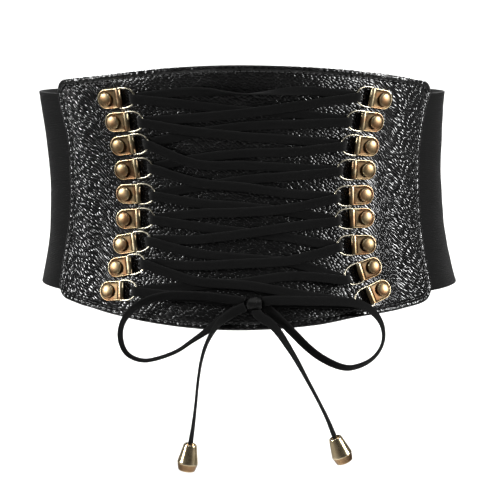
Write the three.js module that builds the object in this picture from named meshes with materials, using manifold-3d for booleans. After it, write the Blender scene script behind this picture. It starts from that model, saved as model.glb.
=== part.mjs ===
// Laced corset belt: a pebbled leather front panel with nine D-ring hooks on
// each side, one flat cord laced between them and tied in a bow, and an elastic
// band that runs round the back to a plain closure strip.
// Millimetres, +Z up. The origin is the middle of the waist opening at mid height
// of the panel. The front faces -Y and +X is the right-hand side seen from the front.

import * as THREE from 'three';
import * as BufferGeometryUtils from 'three/addons/utils/BufferGeometryUtils.js';
import Module from 'manifold-3d';

const wasm = await Module();
wasm.setup();

// ---------------------------------------------------------------- sizes

const GAP = 0.3;                 // clearance kept between pieces
const ELASTIC_WALL = 1.6;        // thickness of the elastic band
const ELASTIC_HEIGHT = 116.6;    // height of the elastic band
const PANEL_WALL = 2.0;          // thickness of the front panel
const PANEL_CORNER = 9;          // rounding of the panel's corners
const TUCK_FROM = 44;            // degrees: where the panel starts to rise over the elastic
const TUCK_TO = 50;              // degrees: where it lies fully over the elastic
const ELASTIC_FROM = 51;         // degrees: where the elastic starts behind the panel
const CLASP_WIDTH = 30;          // width of the closure strip at the back
const CLASP_WALL = 2.2;

const PLATE_WIDTH = 11.4;        // hook plate, across
const PLATE_THICK = 1.6;
const FOLD_REACH = 9.6;          // rivet centre to the middle of the folded barrel
const FOLD_HEIGHT = 2.3;         // barrel axis above the plate's back face
const FOLD_RADIUS = 1.6;
const FOLD_WIDTH = 10.2;
const FOLD_BORE = 0.95;
const RIVET_RADIUS = 4.0;
const RIVET_RISE = 1.95;         // dome above the plate
const WIRE_RADIUS = 0.5;         // ring wire
const RING_HALF_HEIGHT = 5.8;    // wire centre, across the hook
const RING_CENTRE = 2.8;         // where the ring's round part starts, beyond the barrel axis
const RING_REACH = 10.9;         // barrel axis to the far side of the ring
const RING_POWER = 2.2;          // 2 would be a true oval, more is squarer

const CORD_WIDTH = 5.4;          // flat cord
const CORD_THICK = 1.0;
const KNOT = { x: 4.6, z: -58.5, level: 4.6, wide: 9.2, tall: 6.2, deep: 7.6 };

const END_HEIGHT = 15.8;         // bell-shaped cord ends

// Inner face of the belt: at each height an oval with these half axes,
// its centre shifted sideways by 'shift'.
const FORM = [
  { z: -80, halfWidth: 131.5, halfDepth: 96.0, shift: 2.6 },
  { z: -58, halfWidth: 126.0, halfDepth: 92.0, shift: 1.9 },
  { z: -44, halfWidth: 122.6, halfDepth: 89.6, shift: 1.4 },
  { z: -30, halfWidth: 120.2, halfDepth: 87.8, shift: 1.0 },
  { z: -15, halfWidth: 118.8, halfDepth: 86.6, shift: 0.5 },
  { z: 0, halfWidth: 118.2, halfDepth: 86.0, shift: 0.0 },
  { z: 14, halfWidth: 118.3, halfDepth: 86.2, shift: -0.6 },
  { z: 28, halfWidth: 119.2, halfDepth: 87.0, shift: -1.2 },
  { z: 43, halfWidth: 120.5, halfDepth: 88.2, shift: -1.9 },
  { z: 58, halfWidth: 122.0, halfDepth: 89.6, shift: -2.6 },
  { z: 80, halfWidth: 125.2, halfDepth: 92.2, shift: -3.4 },
];

// The panel's edges before its corners are rounded. Angles are round the oval
// from the front, positive to the right.
const TOP_EDGE = [
  { angle: -62, z: 65.6 }, { angle: -51.7, z: 67.6 }, { angle: -34.6, z: 71.0 },
  { angle: -18, z: 74.6 }, { angle: -2.6, z: 76.1 }, { angle: 12.5, z: 75.5 },
  { angle: 25.6, z: 73.8 }, { angle: 42.1, z: 70.5 }, { angle: 53.2, z: 67.2 },
  { angle: 64, z: 64.3 },
];
const BOTTOM_EDGE = [
  { angle: -62, z: -61.0 }, { angle: -51.2, z: -64.1 }, { angle: -38.9, z: -68.2 },
  { angle: -24, z: -72.2 }, { angle: -10.4, z: -74.4 }, { angle: 2.3, z: -74.4 },
  { angle: 17.4, z: -72.2 }, { angle: 28, z: -69.0 }, { angle: 41.5, z: -66.6 },
  { angle: 50, z: -64.2 }, { angle: 58, z: -60.8 },
];
const SIDE_EDGES = [
  { z: -66, left: -61.2, right: 57.0 }, { z: -52, left: -61.5, right: 57.5 },
  { z: -40, left: -61.6, right: 57.7 }, { z: -28, left: -60.8, right: 57.6 },
  { z: -16, left: -59.6, right: 57.4 }, { z: -4, left: -58.9, right: 57.4 },
  { z: 10, left: -58.4, right: 57.5 }, { z: 24, left: -57.6, right: 57.7 },
  { z: 36, left: -57.7, right: 58.6 }, { z: 48, left: -59.0, right: 60.2 },
  { z: 59, left: -59.5, right: 62.8 }, { z: 68, left: -59.8, right: 64.4 },
];

// One row for each pair of hooks, from the top: where the rivets sit on the
// panel and how far each hook is turned (degrees, anticlockwise from the front).
const HOOK_ROWS = [
  { leftAngle: -38.59, leftZ: 56.24, leftTurn: 2.1, rightAngle: 41.00, rightZ: 55.78, rightTurn: -10.3 },
  { leftAngle: -36.90, leftZ: 42.94, leftTurn: 1.5, rightAngle: 38.22, rightZ: 42.94, rightTurn: -7.1 },
  { leftAngle: -35.97, leftZ: 29.33, leftTurn: 4.7, rightAngle: 36.63, rightZ: 28.90, rightTurn: -7.9 },
  { leftAngle: -35.37, leftZ: 15.32, leftTurn: 5.8, rightAngle: 35.57, rightZ: 15.44, rightTurn: -5.2 },
  { leftAngle: -35.26, leftZ: 1.44, leftTurn: 1.5, rightAngle: 34.56, rightZ: 0.99, rightTurn: -2.3 },
  { leftAngle: -35.47, leftZ: -13.13, leftTurn: 4.0, rightAngle: 34.47, rightZ: -12.27, rightTurn: -2.3 },
  { leftAngle: -36.48, leftZ: -27.94, leftTurn: 10.5, rightAngle: 34.31, rightZ: -27.77, rightTurn: -3.9 },
  { leftAngle: -37.68, leftZ: -41.48, leftTurn: 13.2, rightAngle: 35.30, rightZ: -40.88, rightTurn: 11.1 },
  { leftAngle: -39.57, leftZ: -55.31, leftTurn: 7.8, rightAngle: 37.09, rightZ: -53.99, rightTurn: 13.0 },
];

// Height of each kind of lacing strand above the panel, along its way from the
// ring that it leaves (0) to the ring that it reaches (1). 'over' strands cross on
// top of the others; the rest differ in how soon they come down to the panel.
const STRAND_LEVELS = [
  { along: 0.07, low: 4.20, quick: 4.20, late: 4.20, over: 4.20, early: 4.20, last: 4.90 },
  { along: 0.14, low: 3.10, quick: 2.90, late: 3.10, over: 3.10, early: 3.10, last: 4.40 },
  { along: 0.20, low: 2.40, quick: 1.75, late: 2.50, over: 2.50, early: 2.50, last: 4.00 },
  { along: 0.27, low: 1.60, quick: 0.92, late: 2.30, over: 2.30, early: 2.30, last: 3.60 },
  { along: 0.34, low: 0.92, quick: 0.85, late: 2.20, over: 2.20, early: 2.20, last: 3.25 },
  { along: 0.42, low: 0.85, quick: 0.85, late: 0.90, over: 2.20, early: 2.20, last: 2.92 },
  { along: 0.50, low: 0.85, quick: 0.85, late: 0.85, over: 2.20, early: 2.20, last: 2.65 },
  { along: 0.58, low: 0.85, quick: 0.85, late: 0.85, over: 2.20, early: 1.20, last: 2.40 },
  { along: 0.66, low: 0.85, quick: 0.85, late: 0.85, over: 2.20, early: 0.85, last: 2.20 },
  { along: 0.73, low: 0.85, quick: 0.85, late: 0.85, over: 2.20, early: 0.85, last: 2.05 },
  { along: 0.80, low: 0.85, quick: 0.85, late: 0.85, over: 1.50, early: 0.85, last: 1.95 },
  { along: 0.87, low: 0.90, quick: 0.90, late: 0.90, over: 0.95, early: 0.90, last: 1.90 },
  { along: 0.94, low: 1.40, quick: 1.40, late: 1.40, over: 1.40, early: 1.40, last: 1.90 },
];

// The top strand, between the first two rings: its height, and how far it is
// twisted (degrees). It turns over once in the middle.
const BAR_LEVELS = [
  { along: 0.07, level: 1.40, twist: 0 },
  { along: 0.14, level: 0.90, twist: 0 },
  { along: 0.20, level: 0.85, twist: 0 },
  { along: 0.27, level: 0.85, twist: 0 },
  { along: 0.34, level: 1.50, twist: 16 },
  { along: 0.40, level: 2.90, twist: 54 },
  { along: 0.46, level: 3.20, twist: 78 },
  { along: 0.52, level: 3.25, twist: 90 },
  { along: 0.58, level: 3.20, twist: 102 },
  { along: 0.64, level: 3.00, twist: 124 },
  { along: 0.69, level: 2.30, twist: 148 },
  { along: 0.75, level: 1.40, twist: 168 },
  { along: 0.80, level: 0.85, twist: 180 },
  { along: 0.87, level: 0.90, twist: 180 },
  { along: 0.94, level: 1.40, twist: 180 },
];

// The strands below it, one row for each pair of hook rows: the one that leaves
// the left ring and the one that leaves the right ring. 'bend' is how far the
// strand lies off its straight way, a quarter, a half and three quarters along.
const STRANDS = [
  { l: { kind: 'quick', bend: [0.2, -0.1, 1.2] }, r: { kind: 'over', bend: [-0.7, -1.4, -1.1] } },
  { l: { kind: 'early', bend: [-1.3, -1.1, 0.0] }, r: { kind: 'low', bend: [1.9, 4.1, 3.2] } },
  { l: { kind: 'early', bend: [-7.0, -4.1, -2.1] }, r: { kind: 'low', bend: [0.1, 2.3, 2.5] } },
  { l: { kind: 'over', bend: [-3.6, -1.9, -1.6] }, r: { kind: 'late', bend: [0.9, 2.3, 1.4] } },
  { l: { kind: 'quick', bend: [-0.5, 1.1, 1.4] }, r: { kind: 'over', bend: [-2.3, -1.5, 0.3] } },
  { l: { kind: 'quick', bend: [0.2, 1.0, 1.3] }, r: { kind: 'over', bend: [0.0, -0.9, -1.5] } },
  { l: { kind: 'quick', bend: [-0.9, 1.9, 4.0] }, r: { kind: 'over', bend: [-4.4, -3.8, -3.0] } },
  { l: { kind: 'over', bend: [-3.1, 0.2, 0.3] }, r: { kind: 'quick', bend: [4.3, 2.6, 1.8] } },
];
const BAR_BEND = [3.2, 1.8, 3.3];

// Routes of the bow, from the knot outwards. 'level' is the height above the
// panel's front; 'face' is how far the flat cord is turned to the front
// (0 = on edge, 90 = flat against the panel).
const LEFT_LOOP = [
  { x: -0.4, z: -57.5, level: 6.0, face: 85 }, { x: -5.1, z: -56.7, level: 6.2, face: 85 },
  { x: -12.4, z: -55.7, level: 6.4, face: 80 }, { x: -21.5, z: -54.7, level: 6.6, face: 75 },
  { x: -32.4, z: -54.3, level: 6.9, face: 72 }, { x: -42.7, z: -54.6, level: 7.3, face: 68 },
  { x: -51.9, z: -56.3, level: 7.8, face: 62 }, { x: -59.4, z: -59.5, level: 7.8, face: 55 },
  { x: -65.9, z: -64.4, level: 7.4, face: 45 }, { x: -70.3, z: -70.4, level: 6.8, face: 36 },
  { x: -72.1, z: -76.3, level: 6.2, face: 30 }, { x: -71.8, z: -82.2, level: 5.8, face: 26 },
  { x: -69.2, z: -88.3, level: 5.4, face: 18 }, { x: -64.7, z: -91.4, level: 5.2, face: 12 },
  { x: -58.1, z: -92.5, level: 5.0, face: 9 }, { x: -50.6, z: -90.9, level: 4.8, face: 8 },
  { x: -39.6, z: -86.4, level: 4.5, face: 10 }, { x: -30.8, z: -80.2, level: 4.2, face: 16 },
  { x: -21.3, z: -73.6, level: 4.0, face: 38 }, { x: -15.9, z: -69.5, level: 4.0, face: 62 },
  { x: -9.6, z: -65.0, level: 3.8, face: 78 }, { x: -4.5, z: -61.6, level: 3.5, face: 84 },
  { x: -0.4, z: -60.1, level: 3.4, face: 88 },
];
const RIGHT_LOOP = [
  { x: 9.6, z: -57.4, level: 6.0, face: 85 }, { x: 13.6, z: -56.9, level: 6.2, face: 85 },
  { x: 22.2, z: -56.8, level: 6.6, face: 78 }, { x: 34.1, z: -57.2, level: 7.0, face: 74 },
  { x: 45.0, z: -57.6, level: 7.4, face: 70 }, { x: 54.8, z: -58.2, level: 7.9, face: 68 },
  { x: 63.5, z: -59.7, level: 8.2, face: 60 }, { x: 69.9, z: -62.6, level: 8.0, face: 48 },
  { x: 75.0, z: -67.3, level: 7.4, face: 36 }, { x: 78.1, z: -72.6, level: 6.8, face: 26 },
  { x: 79.2, z: -78.5, level: 6.2, face: 20 }, { x: 78.5, z: -83.7, level: 5.8, face: 20 },
  { x: 75.9, z: -88.8, level: 5.4, face: 24 }, { x: 71.4, z: -93.0, level: 5.2, face: 30 },
  { x: 64.7, z: -95.8, level: 5.0, face: 38 }, { x: 58.0, z: -96.6, level: 4.8, face: 46 },
  { x: 50.6, z: -94.3, level: 4.6, face: 54 }, { x: 41.8, z: -89.2, level: 4.4, face: 60 },
  { x: 34.5, z: -83.1, level: 4.2, face: 64 }, { x: 27.2, z: -75.8, level: 4.0, face: 68 },
  { x: 21.4, z: -70.0, level: 4.0, face: 72 }, { x: 15.4, z: -64.5, level: 3.8, face: 78 },
  { x: 12.2, z: -61.9, level: 3.6, face: 84 }, { x: 9.6, z: -60.3, level: 3.5, face: 88 },
];
const LEFT_TAIL = [
  { x: -0.4, z: -60.1, level: 7.4, face: 84 }, { x: -5.1, z: -62.1, level: 7.7, face: 80 },
  { x: -10.2, z: -65.1, level: 8.1, face: 68 }, { x: -15.0, z: -68.8, level: 8.7, face: 48 },
  { x: -18.8, z: -73.9, level: 9.3, face: 30 }, { x: -22.4, z: -81.0, level: 9.3, face: 20 },
  { x: -25.1, z: -89.8, level: 8.8, face: 13 }, { x: -26.7, z: -98.7, level: 8.4, face: 10 },
  { x: -27.7, z: -107.0, level: 8.2, face: 9 }, { x: -28.4, z: -114.9, level: 8.0, face: 9 },
  { x: -29.3, z: -122.8, level: 7.8, face: 12 }, { x: -30.4, z: -131.0, level: 7.6, face: 19 },
  { x: -31.6, z: -138.8, level: 7.4, face: 26 },
];
const RIGHT_TAIL = [
  { x: 5.8, z: -62.1, level: 6.3, face: 88 }, { x: 6.3, z: -64.0, level: 6.7, face: 84 },
  { x: 8.8, z: -66.2, level: 7.0, face: 76 }, { x: 13.3, z: -69.0, level: 7.2, face: 64 },
  { x: 17.8, z: -73.5, level: 7.3, face: 48 }, { x: 22.9, z: -80.9, level: 7.4, face: 35 },
  { x: 28.6, z: -90.2, level: 7.4, face: 24 }, { x: 34.4, z: -101.0, level: 7.3, face: 15 },
  { x: 40.3, z: -112.3, level: 7.2, face: 11 }, { x: 46.2, z: -124.3, level: 7.2, face: 14 },
  { x: 50.8, z: -135.7, level: 7.2, face: 24 },
];

// Bell-shaped cord end, down its axis from where the cord goes in.
const END_PROFILE = [
  { down: 0, radius: 3.4 }, { down: 0.5, radius: 3.85 }, { down: 11.0, radius: 6.05 },
  { down: 11.6, radius: 5.9 }, { down: 15.4, radius: 4.9 }, { down: 15.8, radius: 4.5 },
];

// ---------------------------------------------------------------- materials

const leather = new THREE.MeshStandardMaterial({ color: 0x131313, roughness: 0.35, metalness: 0 });
const elastic = new THREE.MeshStandardMaterial({ color: 0x232323, roughness: 0.9, metalness: 0 });
const suede = new THREE.MeshStandardMaterial({ color: 0x141414, roughness: 0.85, metalness: 0 });
const brass = new THREE.MeshStandardMaterial({ color: 0x9a7b45, roughness: 0.35, metalness: 1 });
const wire = new THREE.MeshStandardMaterial({ color: 0xc9bfa0, roughness: 0.25, metalness: 1 });
const paleGold = new THREE.MeshStandardMaterial({ color: 0xd9c08a, roughness: 0.3, metalness: 1 });

const belt = new THREE.Group();

function addPiece(name, geometry, material) {
  const mesh = new THREE.Mesh(geometry, material);
  mesh.name = name;
  belt.add(mesh);
  return mesh;
}

// ---------------------------------------------------------------- the worn form

const radians = (degrees) => THREE.MathUtils.degToRad(degrees);

// Smooth interpolation of one column of a table, with slopes from its neighbours.
function smooth(table, key, column, at) {
  const last = table.length - 1;
  const x = THREE.MathUtils.clamp(at, table[0][key], table[last][key]);
  let i = 0;
  while (i < last - 1 && x > table[i + 1][key]) i += 1;
  const slope = (k) => {
    const lo = Math.max(k - 1, 0);
    const hi = Math.min(k + 1, last);
    return (table[hi][column] - table[lo][column]) / (table[hi][key] - table[lo][key]);
  };
  const span = table[i + 1][key] - table[i][key];
  const u = (x - table[i][key]) / span;
  return (2 * u ** 3 - 3 * u * u + 1) * table[i][column]
    + (u ** 3 - 2 * u * u + u) * span * slope(i)
    + (3 * u * u - 2 * u ** 3) * table[i + 1][column]
    + (u ** 3 - u * u) * span * slope(i + 1);
}

// A point round the oval at an angle (radians) and height, 'out' from the inner face.
function surface(angle, z, out) {
  const a = smooth(FORM, 'z', 'halfWidth', z);
  const b = smooth(FORM, 'z', 'halfDepth', z);
  const c = smooth(FORM, 'z', 'shift', z);
  const s = Math.sin(angle);
  const k = Math.cos(angle);
  const normal = new THREE.Vector2(s / a, -k / b).normalize();
  return new THREE.Vector3(c + a * s + out * normal.x, -b * k + out * normal.y, z);
}

// The angle and the distance out of a point, at its own height.
function locate(point) {
  const a = smooth(FORM, 'z', 'halfWidth', point.z);
  const b = smooth(FORM, 'z', 'halfDepth', point.z);
  const c = smooth(FORM, 'z', 'shift', point.z);
  let angle = Math.atan2((point.x - c) / a, -point.y / b);
  let out = 0;
  for (let pass = 0; pass < 12; pass += 1) {
    const normal = new THREE.Vector2(Math.sin(angle) / a, -Math.cos(angle) / b).normalize();
    const foot = surface(angle, point.z, 0);
    const delta = new THREE.Vector2(point.x - foot.x, point.y - foot.y);
    out = delta.dot(normal);
    const along = new THREE.Vector2(-normal.y, normal.x);
    const speed = Math.hypot(a * Math.cos(angle), b * Math.sin(angle)) + out * 0.8;
    angle += delta.dot(along) / speed;
  }
  return { angle, out, z: point.z };
}

// How far out the panel's back face lies: flat at the front, risen over the elastic.
function panelBack(angle) {
  const rise = THREE.MathUtils.smoothstep(Math.abs(angle), radians(TUCK_FROM), radians(TUCK_TO));
  return GAP + (ELASTIC_WALL + 0.15) * rise;
}
const PANEL_FRONT = GAP + PANEL_WALL;

// The panel's front at a sideways place and height, raised by 'level'.
function overPanel(x, z, level) {
  const out = PANEL_FRONT + level;
  let angle = Math.asin(THREE.MathUtils.clamp((x - smooth(FORM, 'z', 'shift', z)) / 125, -0.98, 0.98));
  for (let pass = 0; pass < 12; pass += 1) {
    const step = 1e-4;
    const here = surface(angle, z, out).x;
    const slope = (surface(angle + step, z, out).x - here) / step;
    angle += (x - here) / slope;
  }
  return surface(angle, z, out);
}

// ---------------------------------------------------------------- shells

// A curved wall: a box whose columns and rows are mapped by place(u, v, front).
function shell(columns, rows, place) {
  const geometry = new THREE.BoxGeometry(1, 1, 1, columns.length - 1, rows, 1);
  const position = geometry.attributes.position;
  for (let i = 0; i < position.count; i += 1) {
    const column = Math.round((position.getX(i) + 0.5) * (columns.length - 1));
    const v = position.getY(i) + 0.5;
    const point = place(columns[column], v, position.getZ(i) > 0);
    position.setXYZ(i, point.x, point.y, point.z);
  }
  geometry.deleteAttribute('normal');
  geometry.deleteAttribute('uv');
  return BufferGeometryUtils.mergeVertices(geometry, 1e-4);
}

// Columns across the panel: close together where its corners round off.
const corner = [0, 0.4, 1.5, 3.4, 6.0, PANEL_CORNER];
const perDegree = 1.66;                       // millimetres a degree near the sides
const inner = 60 - PANEL_CORNER / perDegree;  // degrees to the last rounded column
const panelColumns = [];
for (const d of corner) panelColumns.push({ share: -(60 - d / perDegree) / 60, d });
for (let k = 1; k < 22; k += 1) panelColumns.push({ share: ((-inner + (2 * inner * k) / 22)) / 60, d: PANEL_CORNER });
for (const d of [...corner].reverse()) panelColumns.push({ share: (60 - d / perDegree) / 60, d });

addPiece('front_panel', shell(panelColumns, 12, (column, v, front) => {
  const { share, d } = column;
  const inset = PANEL_CORNER - Math.sqrt(Math.max(0, PANEL_CORNER ** 2 - (PANEL_CORNER - d) ** 2));
  let angle = share * 60;
  let z = 0;
  for (let pass = 0; pass < 4; pass += 1) {
    const top = smooth(TOP_EDGE, 'angle', 'z', angle) - inset;
    const bottom = smooth(BOTTOM_EDGE, 'angle', 'z', angle) + inset;
    z = bottom + (top - bottom) * v;
    angle = share < 0 ? -share * smooth(SIDE_EDGES, 'z', 'left', z) : share * smooth(SIDE_EDGES, 'z', 'right', z);
  }
  const back = panelBack(radians(angle));
  return surface(radians(angle), z, front ? back + PANEL_WALL : back);
}), leather);

function band(fromDegrees, toDegrees, count, rows, halfHeight, low, wall) {
  const columns = [];
  for (let k = 0; k <= count; k += 1) columns.push(fromDegrees + ((toDegrees - fromDegrees) * k) / count);
  return shell(columns, rows, (degrees, v, front) => (
    surface(radians(degrees), halfHeight * (2 * v - 1), front ? low + wall : low)
  ));
}
addPiece('elastic_left', band(-179.8, -ELASTIC_FROM, 20, 8, ELASTIC_HEIGHT / 2, 0, ELASTIC_WALL), elastic);
addPiece('elastic_right', band(ELASTIC_FROM, 179.8, 20, 8, ELASTIC_HEIGHT / 2, 0, ELASTIC_WALL), elastic);

const claspHalf = THREE.MathUtils.radToDeg(CLASP_WIDTH / 2 / FORM[5].halfWidth);
addPiece('back_clasp', band(180 - claspHalf, 180 + claspHalf, 4, 8, ELASTIC_HEIGHT / 2,
  ELASTIC_WALL + GAP, CLASP_WALL), leather);

// ---------------------------------------------------------------- hooks

function toSolid(geometry) {
  geometry.deleteAttribute('normal');
  geometry.deleteAttribute('uv');
  const merged = BufferGeometryUtils.mergeVertices(geometry, 1e-4);
  return new wasm.Manifold(new wasm.Mesh({
    numProp: 3,
    vertProperties: new Float32Array(merged.attributes.position.array),
    triVerts: new Uint32Array(merged.index.array),
  }));
}
function toGeometry(solid) {
  const mesh = solid.getMesh();
  const geometry = new THREE.BufferGeometry();
  geometry.setAttribute('position', new THREE.BufferAttribute(new Float32Array(mesh.vertProperties), 3));
  geometry.setIndex(new THREE.BufferAttribute(new Uint32Array(mesh.triVerts), 1));
  return geometry;
}

// In a hook's own axes X runs from the rivet to its ring, Y across, Z out.
const half = PLATE_WIDTH / 2;
const outline = new THREE.Shape();
outline.moveTo(FOLD_REACH, -FOLD_WIDTH / 2);
outline.lineTo(FOLD_REACH, FOLD_WIDTH / 2);
outline.lineTo(FOLD_REACH - 1.6, half);
outline.lineTo(0, half);
outline.absarc(0, 0, half, Math.PI / 2, (Math.PI * 3) / 2, false);
outline.lineTo(FOLD_REACH - 1.6, -half);
const plate = toSolid(new THREE.ExtrudeGeometry(outline, { depth: PLATE_THICK, bevelEnabled: false, curveSegments: 8 }));
const barrelShape = new THREE.CylinderGeometry(FOLD_RADIUS, FOLD_RADIUS, FOLD_WIDTH, 10);
barrelShape.translate(FOLD_REACH, 0, FOLD_HEIGHT);
const boreShape = new THREE.CylinderGeometry(FOLD_BORE, FOLD_BORE, FOLD_WIDTH + 4, 8);
boreShape.rotateY(Math.PI / 8);
boreShape.translate(FOLD_REACH, 0, FOLD_HEIGHT);
const dome = new THREE.LatheGeometry([
  new THREE.Vector2(0, PLATE_THICK - 0.4), new THREE.Vector2(RIVET_RADIUS, PLATE_THICK - 0.4),
  new THREE.Vector2(RIVET_RADIUS, PLATE_THICK + 0.9), new THREE.Vector2(RIVET_RADIUS * 0.84, PLATE_THICK + 1.5),
  new THREE.Vector2(RIVET_RADIUS * 0.5, PLATE_THICK + 1.84),
  new THREE.Vector2(0, PLATE_THICK + RIVET_RISE),
], 10);
dome.rotateX(Math.PI / 2);
const hookPlate = toGeometry(plate.add(toSolid(barrelShape)).subtract(toSolid(boreShape)).add(toSolid(dome)));

// The ring: a straight bar inside the barrel, and a squarish round beyond it.
const ringHalf = [[0, 0], [0, 2.7], [0, 5.4], [0.35, 5.72], [1.2, 5.78]];
for (const turn of [90, 70, 50, 32, 16]) {
  ringHalf.push([
    RING_CENTRE + (RING_REACH - RING_CENTRE) * Math.cos(radians(turn)) ** (2 / RING_POWER),
    RING_HALF_HEIGHT * Math.sin(radians(turn)) ** (2 / RING_POWER),
  ]);
}
const ringOutline = [...ringHalf, [RING_REACH, 0], ...ringHalf.slice(1).reverse().map(([x, y]) => [x, -y])];
const ringPoints = ringOutline.map(([x, y]) => new THREE.Vector3(FOLD_REACH + x, y, FOLD_HEIGHT));
const ringCurve = new THREE.CatmullRomCurve3(ringPoints, true, 'centripetal');
const ringTube = new THREE.TubeGeometry(ringCurve, 32, WIRE_RADIUS, 5, true);
ringTube.deleteAttribute('normal');
ringTube.deleteAttribute('uv');
const hookRing = BufferGeometryUtils.mergeVertices(ringTube, 1e-3);

// Where a hook stands: its back face a gap above the panel, turned in its plane.
function hookMatrix(side, degrees, z, turn) {
  const angle = radians(degrees);
  const e = 1e-3;
  const across = surface(angle + e, z, PANEL_FRONT).sub(surface(angle - e, z, PANEL_FRONT));
  const up = surface(angle, z + e, PANEL_FRONT).sub(surface(angle, z - e, PANEL_FRONT));
  const out = new THREE.Vector3().crossVectors(across, up).normalize();
  up.normalize();
  const right = new THREE.Vector3().crossVectors(up, out).normalize();
  const way = right.clone().multiplyScalar(-side).applyAxisAngle(out, radians(turn));
  const side2 = new THREE.Vector3().crossVectors(out, way).normalize();
  const matrix = new THREE.Matrix4().makeBasis(way, side2, out);
  matrix.setPosition(surface(angle, z, PANEL_FRONT).addScaledVector(out, GAP));
  return matrix;
}

const frames = { l: [], r: [] };
HOOK_ROWS.forEach((row, index) => {
  frames.l.push(hookMatrix(-1, row.leftAngle, row.leftZ, row.leftTurn));
  frames.r.push(hookMatrix(1, row.rightAngle, row.rightZ, row.rightTurn));
  for (const side of ['l', 'r']) {
    const number = index + 1;
    for (const [kind, geometry, material] of [['plate', hookPlate, brass], ['ring', hookRing, wire]]) {
      const mesh = addPiece(`hook_${kind}_${side}${number}`, geometry, material);
      mesh.applyMatrix4(frames[side][index]);
    }
  }
});

// ---------------------------------------------------------------- flat cord

// A flat strip along stations { at, wide }: 'wide' is the direction of its width.
function strip(stations, width = CORD_WIDTH, thick = CORD_THICK) {
  const count = stations.length;
  const frame = stations.map((station, i) => {
    const before = stations[Math.max(i - 1, 0)].at;
    const after = stations[Math.min(i + 1, count - 1)].at;
    const along = after.clone().sub(before).normalize();
    const wide = station.wide.clone().addScaledVector(along, -station.wide.dot(along)).normalize();
    const flat = new THREE.Vector3().crossVectors(along, wide).normalize();
    return { at: station.at, wide, flat };
  });
  const geometry = new THREE.BoxGeometry(1, 1, 1, count - 1, 1, 1);
  const position = geometry.attributes.position;
  for (let i = 0; i < position.count; i += 1) {
    const f = frame[Math.round((position.getX(i) + 0.5) * (count - 1))];
    const p = f.at.clone()
      .addScaledVector(f.wide, position.getY(i) * width)
      .addScaledVector(f.flat, position.getZ(i) * thick);
    position.setXYZ(i, p.x, p.y, p.z);
  }
  geometry.deleteAttribute('normal');
  geometry.deleteAttribute('uv');
  return BufferGeometryUtils.mergeVertices(geometry, 1e-4);
}

// The lacing. At each ring the cord comes from behind the wire, folds up through
// the ring and goes back over the wire. It sits a little below the ring's middle
// and slants, because the next strand pulls it down.
const FOLD_OVER = WIRE_RADIUS + GAP + CORD_THICK / 2;
const FOLD_IN = 3.0;
const FOLD_DOWN = 0.8;
const FOLD_SLANT = 0.35;
function foldStations(side, index) {
  const matrix = frames[side][index];
  const up = side === 'l' ? 1 : -1;
  const wide = new THREE.Vector3().setFromMatrixColumn(matrix, 1).multiplyScalar(up);
  return [-90, -140, 180, 140, 90].map((turn) => {
    const x = FOLD_REACH + RING_REACH + FOLD_IN * Math.cos(radians(turn)) * (Math.abs(turn) === 90 ? 0 : 1);
    const y = -up * (FOLD_DOWN + (Math.abs(turn) === 180 ? 0 : Math.sign(turn) * FOLD_SLANT * (Math.abs(turn) === 90 ? 1 : 0.5)));
    const z = FOLD_HEIGHT + FOLD_OVER * Math.sin(radians(turn));
    return { at: new THREE.Vector3(x, y, z).applyMatrix4(matrix), wide };
  });
}
function strandStations(from, to, levels, bend) {
  const a = locate(from);
  const b = locate(to);
  const off = [0, ...bend, 0].map((value, i) => ({ s: i / 4, value }));
  return levels.map(({ along: s, level, twist }) => {
    const angle = a.angle + (b.angle - a.angle) * s;
    const z = a.z + (b.z - a.z) * s + smooth(off, 's', 'value', s);
    const at = surface(angle, z, PANEL_FRONT + level);
    const wide = surface(angle, z + 0.5, PANEL_FRONT).sub(surface(angle, z - 0.5, PANEL_FRONT)).normalize();
    const out = surface(angle, z, PANEL_FRONT + 1).sub(surface(angle, z, PANEL_FRONT));
    return { at, wide: wide.multiplyScalar(Math.cos(radians(twist))).addScaledVector(out, Math.sin(radians(twist))) };
  });
}
const levelsOf = (kind) => STRAND_LEVELS.map((row) => ({ along: row.along, level: row[kind], twist: 0 }));
const over = (fold) => fold[fold.length - 1].at;
const under = (fold) => fold[0].at;
const upright = new THREE.Vector3(0, 0, 1);

// One end of the cord, from its first ring down to the knot, crossing each time.
function run(firstSide) {
  const stations = [];
  let side = firstSide;
  for (let index = 0; index < HOOK_ROWS.length; index += 1) {
    const fold = foldStations(side, index);
    stations.push(...fold);
    if (index === HOOK_ROWS.length - 1) break;
    const other = side === 'l' ? 'r' : 'l';
    const next = foldStations(other, index + 1);
    const { kind, bend } = STRANDS[index][side];
    stations.push(...strandStations(over(fold), under(next), levelsOf(kind), bend));
    side = other;
  }
  const knotSide = KNOT.x + (side === 'l' ? -1 : 1) * (KNOT.wide / 2 + GAP);
  const end = overPanel(knotSide, KNOT.z + (side === 'l' ? 0.2 : 0), 1.9);
  stations.push(...strandStations(stations[stations.length - 1].at, end, levelsOf('last'), [0, 0, 0]));
  stations.push({ at: end, wide: upright });
  return stations;
}
const leftRun = run('l');
const rightRun = run('r');
const bar = strandStations(under(leftRun), under(rightRun), BAR_LEVELS, BAR_BEND);
const turnedOver = rightRun.map(({ at, wide }) => ({ at, wide: wide.clone().negate() }));
addPiece('lacing', strip([...[...leftRun].reverse(), ...bar, ...turnedOver]), suede);

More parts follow.
